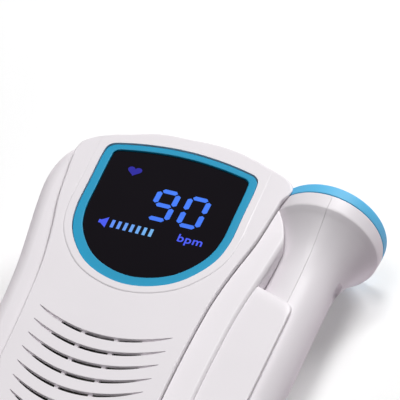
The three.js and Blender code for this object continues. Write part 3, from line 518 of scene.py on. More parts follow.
def lit(name, first, second, axis, start, end):
    """Light of a display segment behind its diffuser, going from one colour to another along an axis."""
    material, tree = new_material(name)
    place = add_node(tree, "ShaderNodeTexCoord").outputs["Object"]
    parts = add_node(tree, "ShaderNodeSeparateXYZ", None, {"Vector": place})
    # The diffuser's unevenness is about 2 mm across
    cloud = add_node(tree, "ShaderNodeTexNoise", {"Scale": 1 / (2.2 * MM), "Detail": 1.0}, {"Vector": place})
    along = add_node(tree, "ShaderNodeMapRange", {"From Min": start * MM, "From Max": end * MM},
                     {"Value": parts.outputs[axis]})
    uneven = add_node(tree, "ShaderNodeMapRange", {"To Min": 0.85, "To Max": 1.1},
                      {"Value": cloud.outputs["Fac"]})
    tones = add_node(tree, "ShaderNodeValToRGB", None, {"Fac": along.outputs["Result"]})
    for element, colour in zip(tones.color_ramp.elements, (first, second)):
        element.color = tinted(colour)
    shader = add_node(tree, "ShaderNodeBsdfPrincipled", {
        "Base Color": tinted(linear("#0D0D16")), "Roughness": 0.3, "Specular IOR Level": 0.05,
    }, {"Emission Color": tones.outputs["Color"], "Emission Strength": uneven.outputs["Result"]})
    add_node(tree, "ShaderNodeOutputMaterial", None, {"Surface": shader.outputs["BSDF"]})
    return material


# Each finish: name, colour or the property that holds it, roughness, grain and its depth in millimetres,
# and what differs from the plain values of grained()
FINISHES = {
    # Moulded ABS with a satin, lightly spark-eroded surface: soft highlights, barely visible grain
    "white_abs": ("Satin white moulded ABS", "shell", 0.4, 0.5, 0.012, {}),
    # Blue ABS with a smoother mould surface: a soft sheen along the ring
    "blue_abs": ("Satin blue moulded ABS", "ring", 0.42, 0.45, 0.01, {"tone": 0.02, "mirror": 0.25}),
    # The probe's rim, a lighter blue than the display ring and a little duller than the shells
    "light_blue_abs": ("Satin light blue moulded ABS", "probe_ring", 0.54, 0.45, 0.01, {"tone": 0.02}),
    # Dark tinted acrylic with an antireflection coat: near black, with sharp but weak reflections
    "tinted_acrylic": ("Tinted acrylic window", "window", 0.07, 0.9, 0.001,
                       {"tone": 0.1, "ior": 1.49, "spread": 0.03, "mirror": 0.05}),
    # Moulded silicone rubber keys: soft, low sheen
    "silicone": ("Grey silicone rubber", "button", 0.55, 0.35, 0.01, {"tone": 0.02, "ior": 1.41}),
    # Pad-printed dark grey ink on the keys: flat, even and a touch glossier than the rubber
    "print_ink": ("Dark grey printed ink", "#4A4F58", 0.5, 0.3, 0.003, {"tone": 0.05}),
    # Black PBT of the earphone socket: dull, with a trace of glass fibre
    "black_pbt": ("Black moulded PBT", "#202024", 0.5, 0.25, 0.01, {"tone": 0.15}),
    # Flexible PVC of the cable glands, a little greyer than the shells
    "soft_pvc": ("Soft grey-white PVC", "#DAD8DC", 0.5, 0.4, 0.01, {"tone": 0.02, "ior": 1.53}),
    # Nickel-plated steel of screws, springs and contacts: bright, slightly brushed
    "nickel_steel": ("Nickel-plated steel", "#B9BCC2", 0.28, 0.2, 0.004, {"tone": 0.06, "metallic": 1.0}),
    # Matching-layer resin of the acoustic face: pale grey, faintly mottled
    "acoustic_resin": ("Pale acoustic resin", "#D3D2D0", 0.42, 0.7, 0.006, {"tone": 0.03}),
    # Solder mask over glass cloth: a deep green with a soft gloss and the cloth's mottling
    "solder_mask": ("Green solder mask on FR4", "#1F6B3C", 0.35, 1.6, 0.004, {"tone": 0.12}),
    # Transfer-moulded epoxy of the chips and switches: dull black with a fine grain
    "black_epoxy": ("Black moulded epoxy", "#17171A", 0.5, 0.3, 0.01, {"tone": 0.2}),
    # Moulded polycarbonate case of the display module: dark grey, half dull
    "black_polycarbonate": ("Black polycarbonate module", "#26262C", 0.45, 0.5, 0.01, {"tone": 0.15}),
    # Pressed paper pulp of the speaker cone: matt, fibrous and brownish grey
    "pulp_paper": ("Grey pulp cone paper", "#3A3733", 0.9, 0.6, 0.05, {"tone": 0.2}),
    # Open-cell polyurethane foam of the dust gasket: matt grey with visible pores
    "open_foam": ("Grey open-cell foam", "#55565C", 0.95, 0.5, 0.08, {"tone": 0.2}),
    # Fired and ground piezo ceramic of the crystals: sandy, between satin and matt
    "piezo_ceramic": ("Fired piezo ceramic", "#C8B98F", 0.55, 0.4, 0.01, {"tone": 0.05}),
    # Cast epoxy loaded with metal powder behind the crystals: dark brown and grainy
    "filled_epoxy": ("Filled epoxy backing", "#4A4038", 0.7, 0.5, 0.02, {"tone": 0.2}),
}


def finish(key):
    """The material of a finish, made when it is first asked for."""
    name, colour, roughness, grain, depth, changes = FINISHES[key]
    colour = linear(colour) if colour.startswith("#") else getattr(colours(), colour)
    return bpy.data.materials.get(name) or grained(name, colour, roughness, grain, depth, **changes)


# ---------------------------------------------------------------- stage

def seen_white(tree):
    """The light path, and 1 for camera, glossy and transmission rays, which are to see plain white."""
    path = add_node(tree, "ShaderNodeLightPath")
    seen = add_node(tree, "ShaderNodeMath", {"operation": "MAXIMUM"},
                    {0: path.outputs["Is Camera Ray"], 1: path.outputs["Is Glossy Ray"]})
    seen = add_node(tree, "ShaderNodeMath", {"operation": "MAXIMUM"},
                    {0: seen.outputs[0], 1: path.outputs["Is Transmission Ray"]})
    return path, seen.outputs[0]


class DOPPLER_OT_stage(bpy.types.Operator):
    """Sets the floor, the white surround, the soft lamps and the camera"""
    bl_idname = "doppler.stage"
    bl_label = "Stage"

    def execute(self, context):
        stage = context.scene.doppler_stage
        context.scene.view_settings.view_transform = "Standard"
        self.floor()
        self.surround(context, stage.world_strength)
        # Place and width in metres
        self.lamp("Key light", (0.228, 0.852, 0.71), 0.52, stage.key_power)
        self.lamp("Top light", (-0.08, 0.298, 1.097), 0.32, stage.top_power)
        self.lamp("Fill light", (-0.08, -0.298, 1.097), 0.32, stage.fill_power)
        camera = as_object("Camera", bpy.data.cameras.new("Camera"))
        camera.data.sensor_width, camera.data.lens = 36, stage.lens
        camera.data.clip_start, camera.data.clip_end = 0.01, 20
        camera.location = stage.camera_place
        view = Vector(stage.camera_target) - Vector(stage.camera_place)
        camera.rotation_euler = view.to_track_quat("-Z", "Y").to_euler()
        context.scene.camera = camera
        return {"FINISHED"}

    def floor(self):
        """A wide sheet of paper, just under the back so that the two faces don't meet."""
        bm = bmesh.new()
        bmesh.ops.create_grid(bm, x_segments=1, y_segments=1, size=3)
        floor = as_object("Floor", as_mesh("Floor", bm))
        floor.location.z = -0.05 * MM
        # Seamless white paper: matt, brightened for the camera to the photograph's white
        material, tree = new_material("Seamless white paper")
        path, seen = seen_white(tree)
        place = add_node(tree, "ShaderNodeTexCoord").outputs["Object"]
        fibre = add_node(tree, "ShaderNodeTexNoise", {"Scale": 1 / (1.5 * MM)}, {"Vector": place})
        bump = add_node(tree, "ShaderNodeBump", {"Strength": 0.1, "Distance": 0.02 * MM},
                        {"Height": fibre.outputs["Fac"]})
        # The light that the paper throws back up is a little rosy, as on the photograph's undersides
        rosy, plain = tinted(linear("#EDE3EA")), tinted(linear("#E9E9E9"))
        tone = add_node(tree, "ShaderNodeMixRGB", {1: rosy, 2: plain}, {0: path.outputs["Is Camera Ray"]})
        paper = add_node(tree, "ShaderNodeBsdfDiffuse", None,
                         {"Color": tone.outputs[0], "Normal": bump.outputs["Normal"]})
        lift = add_node(tree, "ShaderNodeMath", {"operation": "MULTIPLY", 1: 0.23}, {0: seen})
        glow = add_node(tree, "ShaderNodeEmission", None, {"Strength": lift.outputs[0]})
        both = add_node(tree, "ShaderNodeAddShader", None, {0: paper.outputs[0], 1: glow.outputs[0]})
        add_node(tree, "ShaderNodeOutputMaterial", None, {"Surface": both.outputs[0]})
        floor.data.materials.append(material)

    def surround(self, context, strength):
        """A world that looks white and sheds only a little light."""
        world = bpy.data.worlds.new("White surround")
        world.use_nodes = True
        tree = world.node_tree
        tree.nodes.clear()
        _, seen = seen_white(tree)
        light = add_node(tree, "ShaderNodeBackground", {"Color": (1, 1, 1, 1), "Strength": strength})
        white = add_node(tree, "ShaderNodeBackground", {"Color": (1, 1, 1, 1), "Strength": 1.0})
        mixed = add_node(tree, "ShaderNodeMixShader", None,
                         {0: seen, 1: light.outputs[0], 2: white.outputs[0]})
        add_node(tree, "ShaderNodeOutputWorld", None, {"Surface": mixed.outputs[0]})
        context.scene.world = world

    def lamp(self, name, place, size, power):
        """A round soft lamp that points at the middle of the unit."""
        data = bpy.data.lights.new(name, "AREA")
        data.shape, data.size, data.energy = "DISK", size, power
        lamp = as_object(name, data)
        lamp.location = place
        lamp.rotation_euler = (Vector((0, 0, 0.02)) - Vector(place)).to_track_quat("-Z", "Y").to_euler()


# ---------------------------------------------------------------- probe room and arm

def flare(allowance, steps):
    """Radius of the probe behind its rim, easing from the head to the handle."""
    shares = [k / steps for k in range(steps + 1)]
    return [(HANDLE_RADIUS + (CREASE_RADIUS - HANDLE_RADIUS) * (1 - s) ** 2.6 + allowance,
             -CREASE_DEPTH - s * FLARE_LENGTH) for s in shares]


def probe_room(allowance):
    """Room that the probe needs in the housing, open past its face and its tail."""
    tail, front, head = -PROBE_LENGTH - 9, HEAD_RADIUS + 2, HEAD_RADIUS + allowance + 0.1
    profile = [(0, tail), (HANDLE_RADIUS + allowance, tail), *reversed(flare(allowance, 24)),
               (head, -CREASE_DEPTH + 0.5), (head, front), (0, front)]
    return at_probe(turned(profile, PROBE_STEPS))


def beside_probe(points):
    """Takes plan points from the probe's own frame to the unit's."""
    spin = Matrix.Rotation(-PROBE_YAW, 2)
    return [spin @ Vector(p) + PROBE_FRONT.xy for p in points]


def finger_pocket():
    """Scoop that opens the wing beside the probe's neck, its upper edge rounded."""
    edge = [(-13.6, -7.5), (-13.4, -8.9), (-11.9, -11.3), (-10.15, -14), (-8.6, -17.5), (-7.4, -21.3),
            (-6.4, -25), (-5.6, -29), (0, -29), (0, -7.5)]
    round_over, bottom, top = 0.65, 20.5, 30.26
    levels = [(bottom, 0), *quarter(top, round_over, round_over, 6), (CLEAR_OF_ALL, round_over)]
    return loft([(beside_probe([(x - out, y) for x, y in edge]), z) for z, out in levels])


def arm_outline(margin, ease=0.0):
    """Plan of the arm that covers the handle, and of the trough under it; ease draws in its upper end."""
    reach, start, end, root, slope = 2.9 - margin, -41.6 - margin - ease, -100 + margin, 16, 0.288
    corner = 2.6 - margin + ease * 0.6
    drop = slope * (reach + root)
    points = [(-root, start + drop), (-root, end - drop), (reach - corner, end - slope * corner)]
    curve = [((1 - t) ** 2, 2 * t * (1 - t), t ** 2) for t in (0.25, 0.5, 0.75)]
    low = [(reach - corner, end - slope * corner), (reach, end), (reach, end + corner)]
    high = [(reach, start - corner), (reach, start), (reach - corner, start + slope * corner)]
    blend = lambda three, w: tuple(sum(w[i] * three[i][k] for i in range(3)) for k in (0, 1))
    points += [blend(low, w) for w in curve] + [low[2], high[0]] + [blend(high, w) for w in curve] + [high[2]]
    return beside_probe(points)


def arm_solid(levels):
    """The arm or the trough through (height, margin, ease) levels."""
    return loft([(arm_outline(margin, ease), height) for height, margin, ease in levels])


def gland_hole():
    """Hole for the unit's cable gland, half in each housing."""
    return rod([(0, -73), (3.35, -73), (3.35, -66.6), (0, -66.6)], GLAND_X, SPLIT)


class DOPPLER_OT_upper_housing(bpy.types.Operator):
    """Models the upper housing with its shoulders, the scoop for the probe and the arm over the handle"""
    bl_idname = "doppler.upper_housing"
    bl_label = "Upper housing"

    def execute(self, context):
        s = sizes()
        clearance, gap = s.probe_clearance / MM, s.cover_gap / MM
        # The shell and its arm, then the room inside, the recess that takes the cover, and the holes
        outer = loft(levels_of(BODY, [(SPLIT, SPLIT_EDGE), (SPLIT + SPLIT_EDGE, 0)])
                     + self.shoulder(s.shoulder_drop / MM, s.shoulder_inset / MM))
        arm = arm_solid([(SPLIT, 0, 0), (28, 0, 0), (28.3, 0, 0.15), (28.6, 0, 0.45), (28.85, 0, 1.0),
                         (29.03, 0.1, 1.8), (29.13, 0.25, 2.8), (29.2, 0.5, 4.2)])
        hollow = combined(prism(inset(BODY, WALL), SPLIT - 2, ROOM_TOP),
                          add(prism(inset(COVER, COVER_LEDGE), SPLIT, COVER_SEAT + 2)),
                          cut(probe_room(clearance + WALL)))
        recess = loft(levels_of(COVER, [(COVER_SEAT, -gap), (30.35, -gap), (30.62, -gap - 0.12),
                                        (CLEAR_OF_ALL, -gap - 0.12)]))
        bosses = [post(BOSS_RADIUS, SPLIT, 26.75, x, y) for x, y in LOWER_SCREWS]
        pilots = [post(PILOT_RADIUS, 14, 22.5, x, y, 20) for x, y in LOWER_SCREWS]
        jack_hole = rod([(0, -73), (2.85, -73), (2.85, -64.4), (0, -64.4)], JACK_X, JACK_Z)
        shell = combined(outer, add(arm), cut(hollow), cut(recess), cut(probe_room(clearance)),
                         cut(finger_pocket()), add(*bosses), cut(*pilots, jack_hole, gland_hole()))
        finish_piece("upper_housing_shell", shell, finish("white_abs"), "unit", ["upper_housing"])
        return {"FINISHED"}

    def shoulder(self, drop, width, steps=12):
        """The rounded shoulder, tighter beside the arm, where the wing runs nearly flat to a steep wall."""
        tight_drop, tight_width = 1.6, 1.7
        tight = [smooth(p.x, 5, 20) * smooth(p.y, -66, -54) * (1 - smooth(p.y, 46, 68)) for p in BODY]
        levels = []
        for k in range(steps + 1):
            turn = math.pi / 2 * k / steps
            amounts = [(width + (tight_width - width) * w) * (1 - math.cos(turn)) for w in tight]
            heights = [WING_TOP - 0.4 * w - (drop + (tight_drop - drop) * w) * (1 - math.sin(turn))
                       for w in tight]
            levels.append(([(p.x, p.y, z) for p, z in zip(inset(BODY, amounts), heights)], 0))
        return levels + [(inset(BODY, 9.5), WING_TOP)]


class DOPPLER_OT_rear_housing(bpy.types.Operator):
    """Models the rear housing with its trough, battery bay, door opening and screw holes"""
    bl_idname = "doppler.rear_housing"
    bl_label = "Rear housing"

    def execute(self, context):
        clearance = sizes().probe_clearance / MM
        # The shell, the trough that holds the probe's handle, and the room inside
        outer = loft(levels_of(BODY, BACK_ROUND + [(SPLIT - SPLIT_EDGE, 0), (SPLIT, SPLIT_EDGE)]))
        trough = arm_solid([(0, 1.2, 0), (0.3, 0.55, 0), (1.1, 0.15, 0), (2.2, 0, 0), (SPLIT, 0, 0)])
        hollow = combined(prism(inset(BODY, WALL), FLOOR, SPLIT + 2),
                          add(prism(arm_outline(WALL), FLOOR, SPLIT + 2)), cut(probe_room(clearance + WALL)))
        # The battery bay's walls, the thicker floor round it, its inside, and the door's opening and grooves
        bay_middle, bay_roof, door_middle, door_run = -34.9, 18.6, -39.25, 67.5
        bay = block((0, bay_middle, (FLOOR + bay_roof) / 2 - 0.1), (32.9, 56.6, bay_roof - FLOOR + 0.2))
        base = block((0, -33.8, FLOOR), (41.2, 58.8, 2.6))
        inner = block((0, bay_middle, 7.8), (30.3, 54, 19.6))
        slot = block((0, door_middle, 0), (35.6, door_run, 4.8))
        groove = block((0, door_middle, 1.725), (38.6, door_run, 1.35))
        # Bosses rise from within the floor; the two slimmer ones carry the main board
        root = 1.2
        bosses = [post(BOSS_RADIUS, root, 20, x, y) for x, y in UPPER_SCREWS]
        bosses += [post(BOSS_RADIUS, root, SPLIT, x, y) for x, y in LOWER_SCREWS]
        bosses += [post(2.4, root, 18.6, x, 12) for x in (-17, 17)]
        shafts = [post(PILOT_RADIUS, -2, 22, x, y, 20) for x, y in UPPER_SCREWS + LOWER_SCREWS]
        sinks = [post(SINK_RADIUS, -2, 2.7, x, y, 32) for x, y in UPPER_SCREWS + LOWER_SCREWS]
        panel = block((0, 28, 0), (40, 30, 0.5), 0.24)
        shell = combined(outer, add(trough), cut(hollow), cut(probe_room(clearance)), add(base), add(bay),
                         add(*bosses), cut(inner), cut(slot), cut(groove), cut(*shafts, gland_hole(), panel),
                         cut(*sinks))
        finish_piece("rear_housing_shell", shell, finish("white_abs"), "unit", ["rear_housing"])
        return {"FINISHED"}


# ---------------------------------------------------------------- front cover

def slot_outline(slot, width, steps=28):
    """Crescent strip of a grille slot."""
    half, top = SLOT_HALF_LENGTHS[slot], -4.6 - SLOT_PITCH * slot
    tip = half - 0.02
    stations = [-tip + 2 * tip * k / steps for k in range(steps + 1)]
    middle = lambda x: top - SLOT_SAG * (1 - (x / half) ** 2)
    side = lambda x: width / 2 * math.sqrt(max(0.02, 1 - (x / half) ** 2))
    lower = [Vector((x, middle(x) - side(x))) for x in stations]
    return lower + [Vector((x, middle(x) + side(x))) for x in reversed(stations)]


def button_solid(button, levels):
    """A solid through (margin round a button, height) levels."""
    _, half_x, half_y, x = button
    return loft([(ellipse(half_x + margin, half_y + margin, x, BUTTON_Y), height)
                 for margin, height in levels])


class DOPPLER_OT_front_cover(bpy.types.Operator):
    """Models the front cover with its raised display pad, grille slots and button holes"""
    bl_idname = "doppler.front_cover"
    bl_label = "Front cover"

    def execute(self, context):
        s = sizes()
        edge, width = s.cover_round / MM, s.slot_width / MM
        # The plate and its pad, then the hollow under it and the stepped opening for the ring and pane
        plate = loft(levels_of(COVER, [(COVER_SEAT, 0)] + quarter(FACE, edge, edge, 6)))
        pad = self.pad(s.pad_rise / MM)
        hollow = combined(prism(inset(COVER, 2), COVER_SEAT - 2, COVER_UNDER),
                          cut(prism(inset(SHIELD, -2.5), COVER_SEAT - 3, FACE)))
        recess = loft(levels_of(SHIELD, [(WINDOW_LOW, -0.14), (32.1, -0.14), (32.45, -0.3),
                                         (CLEAR_OF_ALL, -0.3)]))
        opening = prism(inset(SHIELD, 5), COVER_SEAT - 2, FACE)
        # The slots flare at the face; under them three pockets leave two ribs across the grille
        grooves = []
        for slot in range(len(SLOT_HALF_LENGTHS)):
            narrow, wide = slot_outline(slot, width), slot_outline(slot, width + 0.25)
            grooves.append(loft([(narrow, 31.1), (narrow, 31.87), (wide, 32.02), (wide, CLEAR_OF_FACE)]))
        pockets = [prism(self.grille_pocket(start, end), 28.1, 31.15)
                   for start, end in ((None, -5.4), (-4.2, 4.2), (5.4, None))]
        holes = [button_solid(button, [(0.3, 27.8), (0.3, 31.7), (0.65, 32.05), (0.65, CLEAR_OF_FACE)])
                 for button in BUTTONS]
        bosses = [post(BOSS_RADIUS, 20, 28.75, x, y) for x, y in UPPER_SCREWS]
        pilots = [post(PILOT_RADIUS, 18, 26.5, x, y, 20) for x, y in UPPER_SCREWS]
        shell = combined(plate, add(pad), cut(hollow), cut(recess), cut(opening), cut(*pockets),
                         cut(*grooves), cut(*holes), cut(probe_room(s.probe_clearance / MM)), add(*bosses),
                         cut(*pilots))
        finish_piece("front_cover_shell", shell, finish("white_abs"), "unit", ["front_cover"])
        return {"FINISHED"}

    def grille_pocket(self, start, end):
        """Hollow under the grille between two ribs; an end of None follows the slots' open lengths."""
        rows = [(-6.2 - SLOT_PITCH * k, clear) for k, clear in enumerate(SLOT_OPEN_LENGTHS)]
        left = [(-clear if start is None else start, y) for y, clear in rows]
        right = [(clear if end is None else end, y) for y, clear in rows]
        place = lambda x, y: Vector((x, y - 4.2 + SLOT_SAG * (x / 17.5) ** 2))
        low, high = (left[-1][0], right[-1][0]), (left[0][0], right[0][0])
        top = [place(high[1] + (high[0] - high[1]) * k / 6, rows[0][0] + 1.3) for k in range(7)]
        bottom = [place(low[0] + (low[1] - low[0]) * k / 6, rows[-1][0] - 1.3) for k in range(7)]
        return bottom + [place(*p) for p in reversed(right[1:-1])] + top + [place(*p) for p in left[1:-1]]

    def pad(self, rise):
        """The pad round the display: proud at its lower end, fading towards the cover's top edge."""
        shape = [Vector((p.x, p.y + 14 * smooth(p.y, 44, 62))) for p in inset(SHIELD, -2.7)]
        bm = loft([(shape, 31.2), (shape, FACE - 0.02), (inset(shape, 0.25), FACE + 0.8 * rise),
                   (inset(shape, 0.5), FACE + rise)])
        for vert in bm.verts:
            if vert.co.z > FACE:
                vert.co.z -= 0.75 * smooth(vert.co.y, 20, 60) * (vert.co.z - FACE)
        return combined(bm, within(prism(inset(COVER, 1.0), 31, CLEAR_OF_FACE)))


# ---------------------------------------------------------------- display

class DOPPLER_OT_display(bpy.types.Operator):
    """Models the blue ring and the tinted window"""
    bl_idname = "doppler.display"
    bl_label = "Display ring and window"

    def execute(self, context):
        # The ring's outer and inner sides, with rounded upper edges
        outer = levels_of(SHIELD, [(WINDOW_LOW, 0), (BEZEL_TOP - 0.3, 0), (BEZEL_TOP - 0.12, 0.06),
                                   (BEZEL_TOP - 0.03, 0.15), (BEZEL_TOP, 0.3)])
        inner = levels_of(PANE, [(BEZEL_TOP - 0.01, -0.3), (BEZEL_TOP - 0.08, -0.1), (BEZEL_TOP - 0.22, 0),
                                 (WINDOW_LOW, 0)])
        ring = loft(outer + inner, closed=True)
        finish_piece("display_ring", ring, finish("blue_abs"), "unit", ["display_bezel"])
        pane = inset(PANE, 0.08)
        window = loft(levels_of(pane, [(WINDOW_LOW, 0), (WINDOW_TOP - 0.1, 0), (WINDOW_TOP, 0.1)]))
        finish_piece("tinted_window", window, finish("tinted_acrylic"), "unit", ["display_window"])
        return {"FINISHED"}


class DOPPLER_OT_lit_marks(bpy.types.Operator):
    """Models what the display shows: two digits, level bars, a heart, a speaker mark and the unit"""
    bl_idname = "doppler.lit_marks"
    bl_label = "Lit marks"

    # The marks lie on the pane, clear of it by a hair
    low, high = WINDOW_TOP + 0.004, WINDOW_TOP + 0.03

    def execute(self, context):
        digits, marks, heart = colours().digits, colours().symbols, colours().heart
        # Blue light-emitting segments behind diffusers: even, saturated light
        digit_light = lit("Blue segment light", digits, tinted(digits, 0.12), "Y", 37, 49)
        # The same segments in a violet blue, for the small marks: even and a little deeper
        mark_light = lit("Violet-blue symbol light", marks, tinted(marks, 0.1), "X", -16, 16)
        # A violet segment at low power: dim and even
        heart_light = lit("Dim violet symbol light", heart, tinted(heart, 0.12), "Y", 51, 56)
        # Blue segments of the level bars: the same light, paler towards the loud end
        bar_light = lit("Level bar light", linear("#5F8FFA"), linear("#7ABCF2"), "X", -12, 1)
        bars = [rectangle(0.46, 1.5, -11.2 + 1.91 * k, 31.6) for k in range(7)]
        speaker = [(-15.4, 30.9), (-14.7, 30.9), (-12.95, 29.5), (-12.95, 33.7), (-14.7, 32.2), (-15.4, 32.2)]
        for name, outlines, light in (
                ("lit_digits", self.digit(0.1, "abcdfg") + self.digit(9.3, "abcdef"), digit_light),
                ("lit_level_bars", bars, bar_light),
                ("lit_heart", [self.heart(-12.4, 53.6)], heart_light),
                ("lit_speaker_mark", [speaker], mark_light)):
            mark = joined([prism(outline, self.low, self.high) for outline in outlines])
            finish_piece(name, mark, light, "unit", ())
        finish_piece("lit_unit_word", self.unit_word(), mark_light, "unit", ())
        return {"FINISHED"}

    def digit(self, x, segments):
        """Outlines of a leaning digit: a top, b and c right, d bottom, e and f left, g middle."""
        half_x, half_y, middle, thick, lean = 2.75, 5.65, 42.95, 0.78, 0.035
        flat = {"a": 1, "g": 0, "d": -1}
        upright = {"b": (1, 1), "c": (1, -1), "e": (-1, -1), "f": (-1, 1)}
        outlines = []
        for name in segments:
            if name in flat:
                run, centre = half_x - 0.9, (x, middle + flat[name] * half_y)
                ends = [(-run - 0.45, 0), (-run + 0.15, -thick), (run - 0.15, -thick), (run + 0.45, 0),
                        (run - 0.15, thick), (-run + 0.15, thick)]
            else:
                side, level = upright[name]
                run, centre = half_y / 2 - 0.85, (x + side * half_x, middle + level * half_y / 2)
                ends = [(0, -run - 0.4), (thick, -run + 0.15), (thick, run - 0.15), (0, run + 0.4),
                        (-thick, run - 0.15), (-thick, -run + 0.15)]
            outlines.append([Vector((centre[0] + a + lean * (centre[1] + b - middle), centre[1] + b))
                             for a, b in ends])
        return outlines

    def heart(self, x, y):
        """Outline of a heart from one closed curve."""
        turns = [2 * math.pi * k / 60 for k in range(60)]
        points = [(16 * math.sin(t) ** 3, 13 * math.cos(t) - 5 * math.cos(2 * t) - 2 * math.cos(3 * t)
                   - math.cos(4 * t)) for t in turns]
        return [Vector((x + a * 0.132, y + b * 0.128)) for a, b in points]

    def unit_word(self):
        """The unit "bpm" as flat raised letters."""
        width, height, place = 7.3, 3.9, (8.15, 29.95, self.low)
        curve = bpy.data.curves.new("unit", "FONT")
        curve.body, curve.size, curve.extrude = "bpm", 1.0, 0.0
        curve.offset, curve.space_character, curve.resolution_u = 0.014, 1.08, 6
        source = as_object("unit", curve)
        bm = evaluated(source)
        bpy.data.objects.remove(source)
        bpy.data.curves.remove(curve)
        bmesh.ops.remove_doubles(bm, verts=bm.verts, dist=1e-5)
        lows = [min(v.co[k] for v in bm.verts) for k in (0, 1)]
        highs = [max(v.co[k] for v in bm.verts) for k in (0, 1)]
        shifted(bm, (-lows[0], -lows[1], 0))
        grow = (width / (highs[0] - lows[0]), height / (highs[1] - lows[1]), 1)
        bmesh.ops.scale(bm, verts=bm.verts, vec=grow)
        shifted(bm, place)
        grown = bmesh.ops.extrude_face_region(bm, geom=bm.faces[:])["geom"]
        verts = [g for g in grown if isinstance(g, bmesh.types.BMVert)]
        bmesh.ops.translate(bm, verts=verts, vec=(0, 0, self.high - self.low))
        return outward(bm)


# ---------------------------------------------------------------- buttons

class DOPPLER_OT_buttons(bpy.types.Operator):
    """Models the power button and the two volume buttons with their printed marks"""
    bl_idname = "doppler.buttons"
    bl_label = "Buttons"

    def execute(self, context):
        for button in BUTTONS:
            self.cap(button)
        ring, bar = self.broken_ring(), rectangle(0.25, 1.0, 0, BUTTON_Y + 1.1)
        self.printed("power", joined([prism(ring, PRINT_LOW, PRINT_HIGH), prism(bar, PRINT_LOW, PRINT_HIGH)]))
        self.printed("volume_down", self.bar(-BUTTON_PITCH, 1.5, 0.28))
        plus = combined(self.bar(BUTTON_PITCH, 1.5, 0.28), add(self.bar(BUTTON_PITCH, 0.28, 1.5)))
        self.printed("volume_up", plus)
        return {"FINISHED"}

    def cap(self, button):
        """A key cap with a flange under the cover, a dished top and a stem down to its switch."""
        name, x = button[0], button[3]
        edge = [(-amount, height) for height, amount in quarter(32.7, 0.6, 0.6, 5)]
        body = button_solid(button, [(0.9, 28.5), (0.9, 29.6), (0, 29.6), *edge,
                                     (-1.1, 32.69), (-1.7, 32.6), (-2.5, 32.52)])
        cap = combined(body, add(post(1.5, 25.25, 28.9, x, BUTTON_Y)))
        finish_piece(f"{name}_cap", cap, finish("silicone"), f"{name}_key", [f"{name}_button"])

    def broken_ring(self):
        """Outline of the power mark's ring, open at its top."""
        outer, inner, y, gap = 1.75, 1.25, BUTTON_Y - 0.1, math.radians(38)
        turns = [math.pi / 2 + gap + (2 * math.pi - 2 * gap) * k / 28 for k in range(29)]
        return ([Vector((outer * math.cos(t), y + outer * math.sin(t))) for t in turns]
                + [Vector((inner * math.cos(t), y + inner * math.sin(t))) for t in reversed(turns)])

    def bar(self, x, half_x, half_y):
        """A bar of ink."""
        return prism(rectangle(half_x, half_y, x, BUTTON_Y), PRINT_LOW, PRINT_HIGH)

    def printed(self, name, mark):
        """The mark on a key."""
        finish_piece(f"{name}_mark", mark, finish("print_ink"), f"{name}_key", ())


# ---------------------------------------------------------------- probe

class DOPPLER_OT_probe_shells(bpy.types.Operator):
    """Models the two halves of the probe: flared head, round handle, grip scoops and rounded tail"""
    bl_idname = "doppler.probe_shells"
    bl_label = "Probe halves"

    def execute(self, context):
        gap = sizes().seam_gap / MM / 2
        for side, name in ((-1, "probe_left_shell"), (1, "probe_right_shell")):
            shell = at_probe(combined(self.half(side, gap), cut(self.grip(side))), SEAM_TURN)
            finish_piece(f"{name}_half", shell, finish("white_abs"), "probe", [name])
        return {"FINISHED"}

    def half(self, side, gap):
        """One half of the hollow body, cut along the seam."""
        tail = [(HANDLE_RADIUS - amount, y) for y, amount in quarter(-PROBE_LENGTH, -7, 4, 8)]
        front, crease, depth, wall = -RING_LENGTH - 0.12, CREASE_RADIUS, -CREASE_DEPTH, 1.8
        outer = [*reversed(tail), *reversed(flare(0, 32)[2:]), (crease - 0.12, depth - 0.38),
                 (crease + 0.02, depth + 0.05), (crease + 0.1, depth + 0.6),
                 (HEAD_RADIUS - 0.02, front - 0.4), (HEAD_RADIUS - 0.12, front)]
        inner = [(HEAD_RADIUS - wall, front), (HEAD_RADIUS - wall, -6), (crease - wall, depth),
                 *flare(-wall, 12)[1:], (7.6, -106.2), (4.6, -108), (4.6, -113.4), (3.45, -113.4),
                 (3.45, -PROBE_LENGTH)]
        bm = turned(outer + inner, PROBE_STEPS)
        # The flare is a little flatter underneath than on top
        for vert in bm.verts:
            under = smooth(-vert.co.z / math.hypot(vert.co.x, vert.co.z), -0.1, 0.8)
            flare_share = smooth(-vert.co.y, RING_LENGTH, CREASE_DEPTH) * (1 - smooth(-vert.co.y, 22, 32))
            share = 1 - 0.06 * under * flare_share
            vert.co.x, vert.co.z = vert.co.x * share, vert.co.z * share
        seam = bmesh.ops.bisect_plane(bm, geom=bm.verts[:] + bm.edges[:] + bm.faces[:], dist=1e-5,
                                      plane_co=(side * gap, 0, 0), plane_no=(side, 0, 0), clear_inner=True)
        edges = [g for g in seam["geom_cut"] if isinstance(g, bmesh.types.BMEdge)]
        bmesh.ops.holes_fill(bm, edges=edges, sides=0)
        return outward(bm)

    def grip(self, side):
        """A scoop at the neck, steep at its head end and running out towards the tail."""
        width, to_head, to_tail, height = 1.7, 1.2, 10, 3
        bm = bmesh.new()
        bmesh.ops.create_uvsphere(bm, u_segments=24, v_segments=20, radius=1)
        spun(bm, math.pi / 2, "X")
        for vert in bm.verts:
            length = to_head if vert.co.y > 0 else to_tail
            vert.co = (vert.co.x * width, vert.co.y * length, vert.co.z * height)
        spun(bm, side * 0.08, "Z")
        shifted(bm, (side * (HANDLE_RADIUS + 1), -22.9, 0))
        return spun(bm, -side * 0.05, "Y")


